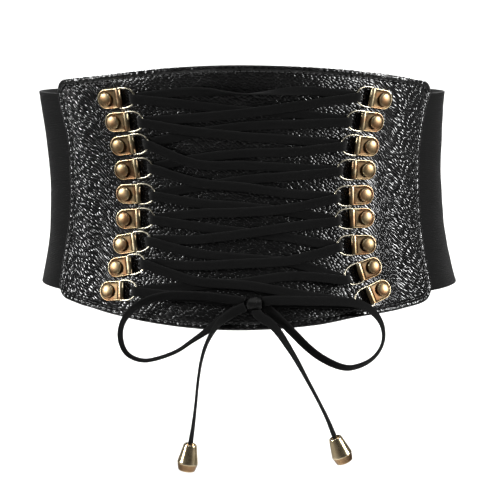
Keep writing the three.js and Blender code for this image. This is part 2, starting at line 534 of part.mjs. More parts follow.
// The bow.
function route(table) {
  return table.map((row, i) => {
    const at = overPanel(row.x, row.z, row.level);
    const before = table[Math.max(i - 1, 0)];
    const after = table[Math.min(i + 1, table.length - 1)];
    const along = overPanel(after.x, after.z, after.level).sub(overPanel(before.x, before.z, before.level)).normalize();
    const out = overPanel(row.x, row.z, row.level + 1).sub(at).normalize();
    const sideways = new THREE.Vector3().crossVectors(along, out).normalize();
    const turn = radians(row.face);
    const wide = sideways.multiplyScalar(Math.sin(turn)).addScaledVector(out, Math.cos(turn));
    return { at, wide };
  });
}
addPiece('bow_loop_left', strip(route(LEFT_LOOP)), suede);
addPiece('bow_loop_right', strip(route(RIGHT_LOOP)), suede);
const leftTail = route(LEFT_TAIL);
const rightTail = route(RIGHT_TAIL);
addPiece('lace_tail_left', strip(leftTail), suede);
addPiece('lace_tail_right', strip(rightTail), suede);

// The knot: a rounded block that the cord is wrapped into.
const knotGeometry = new THREE.BoxGeometry(1, 1, 1, 4, 4, 4);
const knotPosition = knotGeometry.attributes.position;
const knotCentre = overPanel(KNOT.x, KNOT.z, KNOT.level);
for (let i = 0; i < knotPosition.count; i += 1) {
  const p = new THREE.Vector3().fromBufferAttribute(knotPosition, i).multiplyScalar(2);
  const power = 5;
  const size = (Math.abs(p.x) ** power + Math.abs(p.y) ** power + Math.abs(p.z) ** power) ** (1 / power);
  p.multiplyScalar(Math.max(Math.abs(p.x), Math.abs(p.y), Math.abs(p.z)) / size);
  knotPosition.setXYZ(i,
    knotCentre.x + (p.x * KNOT.wide) / 2,
    knotCentre.y + (p.z * KNOT.deep) / 2,
    knotCentre.z - (p.y * KNOT.tall) / 2);
}
knotGeometry.deleteAttribute('normal');
knotGeometry.deleteAttribute('uv');
addPiece('bow_knot', BufferGeometryUtils.mergeVertices(knotGeometry, 1e-4), suede);

// The cord ends, in line with the last stretch of each tail.
const endProfile = [new THREE.Vector2(0, -END_HEIGHT)];
for (const row of [...END_PROFILE].reverse()) endProfile.push(new THREE.Vector2(row.radius, -row.down));
endProfile.push(new THREE.Vector2(0, 0));
const endShape = new THREE.LatheGeometry(endProfile, 16);
function addEnd(name, stations) {
  const last = stations[stations.length - 1].at;
  const along = last.clone().sub(stations[stations.length - 2].at).normalize();
  const mesh = addPiece(name, endShape, paleGold);
  mesh.quaternion.setFromUnitVectors(new THREE.Vector3(0, -1, 0), along);
  mesh.position.copy(last).addScaledVector(along, GAP);
}
addEnd('cord_end_left', leftTail);
addEnd('cord_end_right', rightTail);

export default belt;
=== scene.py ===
import math
import random

import bpy
import numpy as np
from mathutils import Matrix, Vector


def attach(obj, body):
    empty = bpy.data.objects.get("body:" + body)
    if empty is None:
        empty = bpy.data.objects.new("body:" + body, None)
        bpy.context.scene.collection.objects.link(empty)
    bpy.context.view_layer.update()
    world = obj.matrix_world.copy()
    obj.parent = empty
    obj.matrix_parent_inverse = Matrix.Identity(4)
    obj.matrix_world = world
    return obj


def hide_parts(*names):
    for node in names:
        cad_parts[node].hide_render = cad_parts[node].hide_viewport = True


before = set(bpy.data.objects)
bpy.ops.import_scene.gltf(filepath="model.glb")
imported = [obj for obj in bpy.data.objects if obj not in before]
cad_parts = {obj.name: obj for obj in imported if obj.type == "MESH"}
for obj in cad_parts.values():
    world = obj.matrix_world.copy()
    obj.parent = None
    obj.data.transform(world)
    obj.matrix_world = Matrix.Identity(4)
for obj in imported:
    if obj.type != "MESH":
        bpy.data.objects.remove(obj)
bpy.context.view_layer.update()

random.seed(4)
rng = np.random.default_rng(4)
SCENE = bpy.context.scene

# ------------------------------------------------------------------ sizes (mm)
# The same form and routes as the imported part. Millimetres here, metres in the meshes.
GAP, ELASTIC_WALL, ELASTIC_HEIGHT = 0.3, 1.6, 116.6
PANEL_WALL, CORNER = 2.0, 9.0
TUCK_FROM, TUCK_TO, ELASTIC_FROM = 44.0, 50.0, 51.0
PANEL_FRONT = GAP + PANEL_WALL
CORD_WIDTH, CORD_THICK = 5.4, 1.0
FOLD_REACH, FOLD_HEIGHT, FOLD_RADIUS, FOLD_WIDTH = 9.6, 2.3, 1.6, 10.2
WIRE_RADIUS, RING_HALF_HEIGHT, RING_CENTRE, RING_REACH, RING_POWER = 0.5, 5.8, 2.8, 10.9, 2.2
KNOT = dict(x=4.6, z=-58.5, level=4.6, wide=9.2, tall=6.2, deep=7.6)

# z, half width, half depth, centre's sideways shift
FORM = np.array([
    (-80, 131.5, 96.0, 2.6), (-58, 126.0, 92.0, 1.9), (-44, 122.6, 89.6, 1.4), (-30, 120.2, 87.8, 1.0),
    (-15, 118.8, 86.6, 0.5), (0, 118.2, 86.0, 0.0), (14, 118.3, 86.2, -0.6), (28, 119.2, 87.0, -1.2),
    (43, 120.5, 88.2, -1.9), (58, 122.0, 89.6, -2.6), (80, 125.2, 92.2, -3.4)], float)
# angle, z
TOP_EDGE = np.array([(-62, 65.6), (-51.7, 67.6), (-34.6, 71.0), (-18, 74.6), (-2.6, 76.1), (12.5, 75.5),
                     (25.6, 73.8), (42.1, 70.5), (53.2, 67.2), (64, 64.3)], float)
BOTTOM_EDGE = np.array([(-62, -61.0), (-51.2, -64.1), (-38.9, -68.2), (-24, -72.2), (-10.4, -74.4), (2.3, -74.4),
                        (17.4, -72.2), (28, -69.0), (41.5, -66.6), (50, -64.2), (58, -60.8)], float)
# z, left angle, right angle
SIDE_EDGES = np.array([(-66, -61.2, 57.0), (-52, -61.5, 57.5), (-40, -61.6, 57.7), (-28, -60.8, 57.6),
                       (-16, -59.6, 57.4), (-4, -58.9, 57.4), (10, -58.4, 57.5), (24, -57.6, 57.7),
                       (36, -57.7, 58.6), (48, -59.0, 60.2), (59, -59.5, 62.8), (68, -59.8, 64.4)], float)
# left angle, left z, left turn, right angle, right z, right turn
HOOK_ROWS = [
    (-38.59, 56.24, 2.1, 41.00, 55.78, -10.3),
    (-36.90, 42.94, 1.5, 38.22, 42.94, -7.1),
    (-35.97, 29.33, 4.7, 36.63, 28.90, -7.9),
    (-35.37, 15.32, 5.8, 35.57, 15.44, -5.2),
    (-35.26, 1.44, 1.5, 34.56, 0.99, -2.3),
    (-35.47, -13.13, 4.0, 34.47, -12.27, -2.3),
    (-36.48, -27.94, 10.5, 34.31, -27.77, -3.9),
    (-37.68, -41.48, 13.2, 35.30, -40.88, 11.1),
    (-39.57, -55.31, 7.8, 37.09, -53.99, 13.0)]
# height of each kind of strand above the panel, along its way
STRAND_ALONG = (0.07, 0.14, 0.20, 0.27, 0.34, 0.42, 0.50, 0.58, 0.66, 0.73, 0.80, 0.87, 0.94)
STRAND_LEVELS = {
    "low": (4.20, 3.10, 2.40, 1.60, 0.92, 0.85, 0.85, 0.85, 0.85, 0.85, 0.85, 0.90, 1.40),
    "quick": (4.20, 2.90, 1.75, 0.92, 0.85, 0.85, 0.85, 0.85, 0.85, 0.85, 0.85, 0.90, 1.40),
    "late": (4.20, 3.10, 2.50, 2.30, 2.20, 0.90, 0.85, 0.85, 0.85, 0.85, 0.85, 0.90, 1.40),
    "over": (4.20, 3.10, 2.50, 2.30, 2.20, 2.20, 2.20, 2.20, 2.20, 2.20, 1.50, 0.95, 1.40),
    "early": (4.20, 3.10, 2.50, 2.30, 2.20, 2.20, 2.20, 1.20, 0.85, 0.85, 0.85, 0.90, 1.40),
    "last": (4.90, 4.40, 4.00, 3.60, 3.25, 2.92, 2.65, 2.40, 2.20, 2.05, 1.95, 1.90, 1.90),
}
# the top strand: along, level, twist in degrees
BAR_LEVELS = [(0.07, 1.40, 0), (0.14, 0.90, 0), (0.20, 0.85, 0), (0.27, 0.85, 0), (0.34, 1.50, 16), (0.40, 2.90, 54), (0.46, 3.20, 78),
              (0.52, 3.25, 90), (0.58, 3.20, 102), (0.64, 3.00, 124), (0.69, 2.30, 148), (0.75, 1.40, 168), (0.80, 0.85, 180),
              (0.87, 0.90, 180), (0.94, 1.40, 180)]
# kind and bend of the strand that leaves the left ring, and of the one that leaves the right ring
STRANDS = [
    dict(l=("quick", (0.2, -0.1, 1.2)), r=("over", (-0.7, -1.4, -1.1))),
    dict(l=("early", (-1.3, -1.1, 0.0)), r=("low", (1.9, 4.1, 3.2))),
    dict(l=("early", (-7.0, -4.1, -2.1)), r=("low", (0.1, 2.3, 2.5))),
    dict(l=("over", (-3.6, -1.9, -1.6)), r=("late", (0.9, 2.3, 1.4))),
    dict(l=("quick", (-0.5, 1.1, 1.4)), r=("over", (-2.3, -1.5, 0.3))),
    dict(l=("quick", (0.2, 1.0, 1.3)), r=("over", (0.0, -0.9, -1.5))),
    dict(l=("quick", (-0.9, 1.9, 4.0)), r=("over", (-4.4, -3.8, -3.0))),
    dict(l=("over", (-3.1, 0.2, 0.3)), r=("quick", (4.3, 2.6, 1.8))),
]
BAR_BEND = (3.2, 1.8, 3.3)
# x, z, level, face
LEFT_LOOP = [
    (-0.4, -57.5, 6.0, 85), (-5.1, -56.7, 6.2, 85), (-12.4, -55.7, 6.4, 80), (-21.5, -54.7, 6.6, 75),
    (-32.4, -54.3, 6.9, 72), (-42.7, -54.6, 7.3, 68), (-51.9, -56.3, 7.8, 62), (-59.4, -59.5, 7.8, 55),
    (-65.9, -64.4, 7.4, 45), (-70.3, -70.4, 6.8, 36), (-72.1, -76.3, 6.2, 30), (-71.8, -82.2, 5.8, 26),
    (-69.2, -88.3, 5.4, 18), (-64.7, -91.4, 5.2, 12), (-58.1, -92.5, 5.0, 9), (-50.6, -90.9, 4.8, 8),
    (-39.6, -86.4, 4.5, 10), (-30.8, -80.2, 4.2, 16), (-21.3, -73.6, 4.0, 38), (-15.9, -69.5, 4.0, 62),
    (-9.6, -65.0, 3.8, 78), (-4.5, -61.6, 3.5, 84), (-0.4, -60.1, 3.4, 88)]
RIGHT_LOOP = [
    (9.6, -57.4, 6.0, 85), (13.6, -56.9, 6.2, 85), (22.2, -56.8, 6.6, 78), (34.1, -57.2, 7.0, 74),
    (45.0, -57.6, 7.4, 70), (54.8, -58.2, 7.9, 68), (63.5, -59.7, 8.2, 60), (69.9, -62.6, 8.0, 48),
    (75.0, -67.3, 7.4, 36), (78.1, -72.6, 6.8, 26), (79.2, -78.5, 6.2, 20), (78.5, -83.7, 5.8, 20),
    (75.9, -88.8, 5.4, 24), (71.4, -93.0, 5.2, 30), (64.7, -95.8, 5.0, 38), (58.0, -96.6, 4.8, 46),
    (50.6, -94.3, 4.6, 54), (41.8, -89.2, 4.4, 60), (34.5, -83.1, 4.2, 64), (27.2, -75.8, 4.0, 68),
    (21.4, -70.0, 4.0, 72), (15.4, -64.5, 3.8, 78), (12.2, -61.9, 3.6, 84), (9.6, -60.3, 3.5, 88)]
LEFT_TAIL = [
    (-0.4, -60.1, 7.4, 84), (-5.1, -62.1, 7.7, 80), (-10.2, -65.1, 8.1, 68), (-15.0, -68.8, 8.7, 48),
    (-18.8, -73.9, 9.3, 30), (-22.4, -81.0, 9.3, 20), (-25.1, -89.8, 8.8, 13), (-26.7, -98.7, 8.4, 10),
    (-27.7, -107.0, 8.2, 9), (-28.4, -114.9, 8.0, 9), (-29.3, -122.8, 7.8, 12), (-30.4, -131.0, 7.6, 19),
    (-31.6, -138.8, 7.4, 26)]
RIGHT_TAIL = [
    (5.8, -62.1, 6.3, 88), (6.3, -64.0, 6.7, 84), (8.8, -66.2, 7.0, 76), (13.3, -69.0, 7.2, 64),
    (17.8, -73.5, 7.3, 48), (22.9, -80.9, 7.4, 35), (28.6, -90.2, 7.4, 24), (34.4, -101.0, 7.3, 15),
    (40.3, -112.3, 7.2, 11), (46.2, -124.3, 7.2, 14), (50.8, -135.7, 7.2, 24)]


# ------------------------------------------------------------------ the form
def table(rows, column, x):
    """Smooth interpolation of one column over the first one."""
    xs, ys = rows[:, 0], rows[:, column]
    x = np.clip(np.asarray(x, float), xs[0], xs[-1])
    n = len(xs)
    m = np.empty(n)
    m[1:-1] = (ys[2:] - ys[:-2]) / (xs[2:] - xs[:-2])
    m[0] = (ys[1] - ys[0]) / (xs[1] - xs[0])
    m[-1] = (ys[-1] - ys[-2]) / (xs[-1] - xs[-2])
    i = np.clip(np.searchsorted(xs, x, side="left") - 1, 0, n - 2)
    h = xs[i + 1] - xs[i]
    u = (x - xs[i]) / h
    return ((2 * u**3 - 3 * u * u + 1) * ys[i] + (u**3 - 2 * u * u + u) * h * m[i]
            + (3 * u * u - 2 * u**3) * ys[i + 1] + (u**3 - u * u) * h * m[i + 1])


def surface(angle, z, out):
    """Points round the oval (angle in radians), 'out' from the inner face."""
    a, b, c = (table(FORM, k, z) for k in (1, 2, 3))
    s, k = np.sin(angle), np.cos(angle)
    nx, ny = s / a, -k / b
    length = np.hypot(nx, ny)
    return np.stack([c + a * s + out * nx / length, -b * k + out * ny / length, z + 0 * s], -1)


def locate(p):
    """Angle and distance out of one point, at its own height."""
    a, b, c = (float(table(FORM, k, p[2])) for k in (1, 2, 3))
    angle, out = math.atan2((p[0] - c) / a, -p[1] / b), 0.0
    for _ in range(12):
        n = np.array([math.sin(angle) / a, -math.cos(angle) / b])
        n /= np.linalg.norm(n)
        foot = surface(np.float64(angle), p[2], 0.0)[:2]
        d = np.array(p[:2]) - foot
        out = d @ n
        angle += (d @ np.array([-n[1], n[0]])) / (math.hypot(a * math.cos(angle), b * math.sin(angle)) + out * 0.8)
    return angle, out


def over_panel(x, z, level):
    out = PANEL_FRONT + level
    angle = math.asin(max(-0.98, min(0.98, (x - float(table(FORM, 3, z))) / 125)))
    for _ in range(12):
        here = surface(np.float64(angle), z, out)[0]
        slope = (surface(np.float64(angle + 1e-4), z, out)[0] - here) / 1e-4
        angle += (x - here) / slope
    return surface(np.float64(angle), z, out)


def unit(v):
    return v / np.maximum(np.linalg.norm(v, axis=-1, keepdims=True), 1e-12)


def smoothstep(x, a, b):
    t = np.clip((x - a) / (b - a), 0, 1)
    return t * t * (3 - 2 * t)


# ------------------------------------------------------------------ mesh helpers
def new_mesh(name, verts_mm, faces, smooth=True):
    mesh = bpy.data.meshes.new(name)
    mesh.from_pydata((np.asarray(verts_mm, float) * 0.001).tolist(), [], [tuple(int(i) for i in f) for f in faces])
    mesh.update()
    if smooth:
        mesh.shade_smooth()
    obj = bpy.data.objects.new(name, mesh)
    SCENE.collection.objects.link(obj)
    return obj


def add_uv(obj, uv_per_vertex, name="grain"):
    mesh = obj.data
    layer = mesh.uv_layers.new(name=name)
    idx = np.empty(len(mesh.loops), np.int32)
    mesh.loops.foreach_get("vertex_index", idx)
    layer.data.foreach_set("uv", np.asarray(uv_per_vertex, np.float32)[idx].ravel())


def add_value(obj, values, name):
    attr = obj.data.attributes.new(name, "FLOAT", "POINT")
    attr.data.foreach_set("value", np.asarray(values, np.float32).ravel())


def grid_faces(nu, nv, offset=0, flip=False, closed_u=False, closed_v=False):
    iu = np.arange(nu if closed_u else nu - 1)
    iv = np.arange(nv if closed_v else nv - 1)
    u, v = np.meshgrid(iu, iv, indexing="ij")
    u2, v2 = (u + 1) % nu, (v + 1) % nv
    f = np.stack([u * nv + v, u2 * nv + v, u2 * nv + v2, u * nv + v2], -1).reshape(-1, 4) + offset
    return f[:, ::-1] if flip else f


def cloth_shell(name, angle, z, back, front, extra=()):
    """A closed sheet from two grids of the same shape [nu, nv]: its back and its front."""
    nu, nv = angle.shape
    pf = surface(angle, z, front).reshape(-1, 3)
    pb = surface(angle, z, back).reshape(-1, 3)
    n = nu * nv
    faces = [grid_faces(nu, nv), grid_faces(nu, nv, n, flip=True)]
    rim = [u * nv for u in range(nu)] + [(nu - 1) * nv + v for v in range(1, nv)]
    rim += [u * nv + nv - 1 for u in range(nu - 2, -1, -1)] + [v for v in range(nv - 2, 0, -1)]
    rim = np.array(rim)
    nxt = np.roll(rim, -1)
    faces.append(np.stack([rim, rim + n, nxt + n, nxt], -1))
    obj = new_mesh(name, np.vstack([pf, pb]), np.vstack(faces))
    return obj


def orient_out(obj):
    """Turns a closed mesh's faces outwards."""
    import bmesh
    bm = bmesh.new()
    bm.from_mesh(obj.data)
    bmesh.ops.recalc_face_normals(bm, faces=bm.faces)
    bm.to_mesh(obj.data)
    bm.free()
    obj.data.update()


def join(name, objects):
    bpy.ops.object.select_all(action="DESELECT")
    for o in objects:
        o.select_set(True)
    bpy.context.view_layer.objects.active = objects[0]
    bpy.ops.object.join()
    objects[0].name = name
    objects[0].data.name = name
    return objects[0]


# ------------------------------------------------------------------ node helpers
def material(name):
    mat = bpy.data.materials.new(name)
    mat.use_nodes = True
    tree = mat.node_tree
    tree.nodes.clear()
    out = tree.nodes.new("ShaderNodeOutputMaterial")
    bsdf = tree.nodes.new("ShaderNodeBsdfPrincipled")
    tree.links.new(bsdf.outputs[0], out.inputs[0])
    return mat, tree, bsdf


def node(tree, kind, inputs=None, **props):
    n = tree.nodes.new(kind)
    for key, value in props.items():
        setattr(n, key, value)
    for key, value in (inputs or {}).items():
        socket = n.inputs[key]
        if isinstance(value, bpy.types.NodeSocket):
            tree.links.new(value, socket)
        else:
            socket.default_value = value
    return n


def maths(tree, operation, a, b=0.0, clamp=False):
    return node(tree, "ShaderNodeMath", {0: a, 1: b}, operation=operation, use_clamp=clamp).outputs[0]


def ramp(tree, value, stops, interpolation="LINEAR"):
    n = node(tree, "ShaderNodeValToRGB", {0: value})
    n.color_ramp.interpolation = interpolation
    e = n.color_ramp.elements
    while len(e) < len(stops):
        e.new(0.5)
    for item, (pos, colour) in zip(e, stops):
        item.position = pos
        item.color = (*colour, 1.0) if len(colour) == 3 else colour
    return n.outputs[0]


def grey(v):
    return (v, v, v)


def mapped(tree, source, scale=(1, 1, 1), rotation=(0, 0, 0)):
    return node(tree, "ShaderNodeMapping", {"Vector": source, "Scale": scale, "Rotation": rotation}).outputs[0]


# ------------------------------------------------------------------ materials
LEATHER_CROWN, LEATHER_VALLEY, LEATHER_CREASE, LEATHER_ROUGH = 0.98, 0.10, 0.05, (0.15, 0.21)


def leather_material(name, wrinkle=1.0):
    """Black coated leather: pebbles stretched along the grain's slant, creases, a smooth turned edge.
    UV 'grain' is in centimetres; 'field' is 1 on the pebbled field and 0 on the smooth edge."""
    mat, tree, bsdf = material(name)
    uv = node(tree, "ShaderNodeUVMap", uv_map="grain").outputs[0]
    field = node(tree, "ShaderNodeAttribute", attribute_name="field").outputs["Fac"]
    warp = node(tree, "ShaderNodeTexNoise", {"Vector": uv, "Scale": 1.1, "Detail": 1.0, "Roughness": 0.5}).outputs["Color"]
    offset = node(tree, "ShaderNodeVectorMath", {0: warp, 1: (0.5, 0.5, 0.5)}, operation="SUBTRACT").outputs[0]
    bend = node(tree, "ShaderNodeVectorMath", {0: offset, "Scale": 0.32}, operation="SCALE").outputs[0]
    uv2 = node(tree, "ShaderNodeVectorMath", {0: uv, 1: bend}, operation="ADD").outputs[0]
    slant = mapped(tree, uv2, scale=(1.0, 1.0, 1.0), rotation=(0, 0, math.radians(40)))
    # domed pebbles, about 1.6 by 2.2 mm and longer on the flanks, heights in millimetres
    stretch = node(tree, "ShaderNodeAttribute", attribute_name="stretch").outputs["Fac"]
    parts = node(tree, "ShaderNodeSeparateXYZ", {0: slant})
    lengthwise = node(tree, "ShaderNodeMix", {0: stretch, 2: maths(tree, "MULTIPLY", parts.outputs[0], 4.6),
                                              3: maths(tree, "MULTIPLY", parts.outputs[0], 2.15)}, data_type="FLOAT").outputs[0]
    cells = node(tree, "ShaderNodeCombineXYZ", {0: lengthwise, 1: maths(tree, "MULTIPLY", parts.outputs[1], 6.2)}).outputs[0]
    near = node(tree, "ShaderNodeTexVoronoi", {"Vector": cells, "Scale": 1.0, "Randomness": 0.78},
                feature="F1", voronoi_dimensions="2D").outputs["Distance"]
    edge = node(tree, "ShaderNodeTexVoronoi", {"Vector": cells, "Scale": 1.0, "Randomness": 0.78},
                feature="DISTANCE_TO_EDGE", voronoi_dimensions="2D").outputs["Distance"]
    valley = ramp(tree, edge, [(0.0, grey(0.0)), (0.12, grey(0.7)), (0.30, grey(1.0))], "EASE")
    crown = maths(tree, "SUBTRACT", 1.0, maths(tree, "MULTIPLY", near, near))
    pebble = maths(tree, "ADD", maths(tree, "MULTIPLY", valley, 0.4), maths(tree, "MULTIPLY", crown, 0.6))
    # long creases along the slant
    crease_uv = mapped(tree, slant, scale=(0.9, 3.0, 1.0))
    crease = node(tree, "ShaderNodeTexNoise", {"Vector": crease_uv, "Scale": 1.0, "Detail": 1.0, "Roughness": 0.5,
                                              "Distortion": 0.3}).outputs["Fac"]
    crease = ramp(tree, crease, [(0.36, grey(0.0)), (0.5, grey(1.0)), (0.64, grey(0.5))], "EASE")
    patch = node(tree, "ShaderNodeTexNoise", {"Vector": uv, "Scale": 1.3, "Detail": 2.0}).outputs["Fac"]
    amount = ramp(tree, patch, [(0.38, grey(0.85)), (0.6, grey(1.0))])
    amount = maths(tree, "MULTIPLY", amount, maths(tree, "ADD", 0.40, maths(tree, "MULTIPLY", stretch, 0.65)))
    height = maths(tree, "ADD", maths(tree, "MULTIPLY", crown, LEATHER_CROWN), maths(tree, "MULTIPLY", valley, LEATHER_VALLEY))
    height = maths(tree, "MULTIPLY", height, amount)
    height = maths(tree, "ADD", height, maths(tree, "MULTIPLY", crease, LEATHER_CREASE * wrinkle))
    # the turned edge: small puckers between the stitches
    run = node(tree, "ShaderNodeAttribute", attribute_name="run").outputs["Fac"]
    inset = node(tree, "ShaderNodeAttribute", attribute_name="inset").outputs["Fac"]
    on_edge = node(tree, "ShaderNodeTexNoise", {"Vector": uv, "Scale": 4.5, "Detail": 1.0}).outputs["Fac"]
    phase = maths(tree, "ADD", maths(tree, "MULTIPLY", run, 2 * math.pi / 3.6), maths(tree, "MULTIPLY", on_edge, 5.0))
    band = maths(tree, "SUBTRACT", 1.0, maths(tree, "ABSOLUTE", maths(tree, "DIVIDE", maths(tree, "SUBTRACT", inset, 2.4), 1.9)), clamp=True)
    pucker = maths(tree, "MULTIPLY", maths(tree, "SINE", phase), maths(tree, "MULTIPLY", band, 0.20))
    edge_height = maths(tree, "ADD", maths(tree, "MULTIPLY", on_edge, 0.75), pucker)
    height = node(tree, "ShaderNodeMix", {0: field, 2: edge_height, 3: height}, data_type="FLOAT").outputs[0]
    bump = node(tree, "ShaderNodeBump", {"Height": height, "Strength": 1.0, "Distance": 0.001})
    tree.links.new(bump.outputs[0], bsdf.inputs["Normal"])
    # painted shade: the colour is a little darker in the valleys and cell edges between the pebbles
    colour = ramp(tree, pebble, [(0.45, grey(0.0008)), (0.95, grey(0.0028))])
    tree.links.new(colour, bsdf.inputs["Base Color"])
    rough = node(tree, "ShaderNodeTexNoise", {"Vector": uv, "Scale": 1.7, "Detail": 2.0}).outputs["Fac"]
    rough = node(tree, "ShaderNodeMapRange", {0: rough, 1: 0.3, 2: 0.7, 3: LEATHER_ROUGH[0], 4: LEATHER_ROUGH[1]}).outputs[0]
    edge_rough = maths(tree, "MULTIPLY", maths(tree, "SUBTRACT", 1.0, field), 0.06)
    softer = maths(tree, "MULTIPLY", maths(tree, "SUBTRACT", 1.0, stretch), maths(tree, "MULTIPLY", field, 0.07))
    tree.links.new(maths(tree, "ADD", rough, maths(tree, "ADD", edge_rough, softer)), bsdf.inputs["Roughness"])
    bsdf.inputs["Specular IOR Level"].default_value = 0.55
    return mat


def elastic_material(name):
    """Charcoal ribbed elastic. UV 'grain' in centimetres: u round the waist, v up."""
    mat, tree, bsdf = material(name)
    uv = node(tree, "ShaderNodeUVMap", uv_map="grain").outputs[0]
    warp = node(tree, "ShaderNodeTexNoise", {"Vector": uv, "Scale": 2.0, "Detail": 2.0}).outputs["Fac"]
    split = node(tree, "ShaderNodeSeparateXYZ", {0: uv})
    v = maths(tree, "ADD", split.outputs[1], maths(tree, "MULTIPLY", warp, 0.03))
    ribs = maths(tree, "SINE", maths(tree, "MULTIPLY", v, 2 * math.pi * 9.0))
    picks = maths(tree, "SINE", maths(tree, "MULTIPLY", split.outputs[0], 2 * math.pi * 14.0))
    weave = maths(tree, "ADD", maths(tree, "MULTIPLY", ribs, 0.5), maths(tree, "MULTIPLY", picks, 0.22))
    fuzz = node(tree, "ShaderNodeTexNoise", {"Vector": uv, "Scale": 38.0, "Detail": 3.0, "Roughness": 0.7}).outputs["Fac"]
    creases = node(tree, "ShaderNodeTexNoise", {"Vector": mapped(tree, uv, scale=(0.25, 1.6, 1.0)), "Scale": 1.0,
                                               "Detail": 3.0, "Distortion": 0.4}).outputs["Fac"]
    height = maths(tree, "ADD", weave, maths(tree, "MULTIPLY", fuzz, 0.6))
    height = maths(tree, "ADD", height, maths(tree, "MULTIPLY", creases, 3.5))
    bump = node(tree, "ShaderNodeBump", {"Height": height, "Strength": 0.75, "Distance": 0.00016})
    tree.links.new(bump.outputs[0], bsdf.inputs["Normal"])
    # painted shade: the colour follows the ribs and the creases, a little darker in their grooves and troughs; the fuzz
    # term is random tone
    tone = maths(tree, "ADD", maths(tree, "MULTIPLY", fuzz, 0.6), maths(tree, "MULTIPLY", weave, 0.14))
    tone = maths(tree, "ADD", tone, maths(tree, "MULTIPLY", creases, 0.35))
    colour = ramp(tree, tone, [(0.2, grey(0.0013)), (0.75, grey(0.0042))])
    tree.links.new(colour, bsdf.inputs["Base Color"])
    bsdf.inputs["Roughness"].default_value = 0.92
    bsdf.inputs["Specular IOR Level"].default_value = 0.14
    bsdf.inputs["Sheen Weight"].default_value = 0.035
    bsdf.inputs["Sheen Roughness"].default_value = 0.45
    return mat


def suede_material(name):
    """Matte black faux suede cord: short nap, cut edges a little lighter.
    UV 'grain' in centimetres: u along the cord, v across it. 'rim' is 1 at the cut edges and high at sharp folds, where
    the lighter nap is partly rubbed and partly a painted highlight on the fold's crest."""
    mat, tree, bsdf = material(name)
    uv = node(tree, "ShaderNodeUVMap", uv_map="grain").outputs[0]
    rim = node(tree, "ShaderNodeAttribute", attribute_name="rim").outputs["Fac"]
    nap = node(tree, "ShaderNodeTexNoise", {"Vector": mapped(tree, uv, scale=(14.0, 36.0, 1.0)), "Scale": 1.0,
                                           "Detail": 5.0, "Roughness": 0.7}).outputs["Fac"]
    streak = node(tree, "ShaderNodeTexNoise", {"Vector": mapped(tree, uv, scale=(1.1, 9.0, 1.0)), "Scale": 1.0,
                                              "Detail": 3.0}).outputs["Fac"]
    tone = maths(tree, "ADD", maths(tree, "MULTIPLY", nap, 0.6), maths(tree, "MULTIPLY", streak, 0.4))
    base = ramp(tree, tone, [(0.35, grey(0.0016)), (0.7, grey(0.0046))])
    # lighter grey nap: wear at the cut edges; at sharp folds partly wear, partly a painted highlight on the fold's
    # crest
    worn = ramp(tree, nap, [(0.42, (0.004, 0.0039, 0.0038)), (0.68, (0.060, 0.060, 0.058))])
    colour = node(tree, "ShaderNodeMix", {0: maths(tree, "MULTIPLY", rim, 0.75), 6: base, 7: worn}, data_type="RGBA").outputs[2]
    tree.links.new(colour, bsdf.inputs["Base Color"])
    height = maths(tree, "ADD", nap, maths(tree, "MULTIPLY", streak, 0.5))
    bump = node(tree, "ShaderNodeBump", {"Height": height, "Strength": 0.8, "Distance": 0.00018})
    tree.links.new(bump.outputs[0], bsdf.inputs["Normal"])
    bsdf.inputs["Roughness"].default_value = 0.86
    bsdf.inputs["Specular IOR Level"].default_value = 0.12
    bsdf.inputs["Sheen Weight"].default_value = 0.025
    bsdf.inputs["Sheen Roughness"].default_value = 0.4
    return mat


def brass_material(name, dark, mid, bright, roughness=(0.24, 0.4), scale=900.0, tint=0.35, copper=0.0):
    """Aged plated metal. 'tone' on the mesh runs from 0 in the hollows to 1 on the worn edges; on the hook plates it
    also holds a painted highlight on the barrel and painted shade on their lower side.
    """
    mat, tree, bsdf = material(name)
    pos = node(tree, "ShaderNodeTexCoord").outputs["Object"]
    tone = node(tree, "ShaderNodeAttribute", attribute_name="tone").outputs["Fac"]
    cloud = node(tree, "ShaderNodeTexNoise", {"Vector": pos, "Scale": scale * 0.28, "Detail": 4.0, "Roughness": 0.6}).outputs["Fac"]
    speck = node(tree, "ShaderNodeTexNoise", {"Vector": pos, "Scale": scale, "Detail": 3.0}).outputs["Fac"]
    mixed = maths(tree, "ADD", tone, maths(tree, "MULTIPLY", maths(tree, "SUBTRACT", cloud, 0.5), tint), clamp=True)
    colour = ramp(tree, mixed, [(0.0, dark), (0.5, mid), (1.0, bright)])
    if copper:
        # reddish wear in patches a few millimetres across
        blush = node(tree, "ShaderNodeTexNoise", {"Vector": pos, "Scale": 190.0, "Detail": 1.5}).outputs["Fac"]
        blush = node(tree, "ShaderNodeMapRange", {0: blush, 1: 0.46, 2: 0.62, 3: 0.0, 4: copper}).outputs[0]
        red = node(tree, "ShaderNodeMix", {0: 1.0, 6: colour, 7: (1.0, 0.62, 0.50, 1.0)}, data_type="RGBA", blend_type="MULTIPLY").outputs[2]
        colour = node(tree, "ShaderNodeMix", {0: blush, 6: colour, 7: red}, data_type="RGBA").outputs[2]
    tree.links.new(colour, bsdf.inputs["Base Color"])
    bsdf.inputs["Metallic"].default_value = 1.0
    r = node(tree, "ShaderNodeMapRange", {0: maths(tree, "SUBTRACT", maths(tree, "ADD", cloud, maths(tree, "MULTIPLY", speck, 0.3)), maths(tree, "MULTIPLY", tone, 0.35)),
                                          1: 0.1, 2: 0.8, 3: roughness[0], 4: roughness[1]}).outputs[0]
    tree.links.new(r, bsdf.inputs["Roughness"])
    bump = node(tree, "ShaderNodeBump", {"Height": speck, "Strength": 0.25, "Distance": 0.00004})
    tree.links.new(bump.outputs[0], bsdf.inputs["Normal"])
    return mat


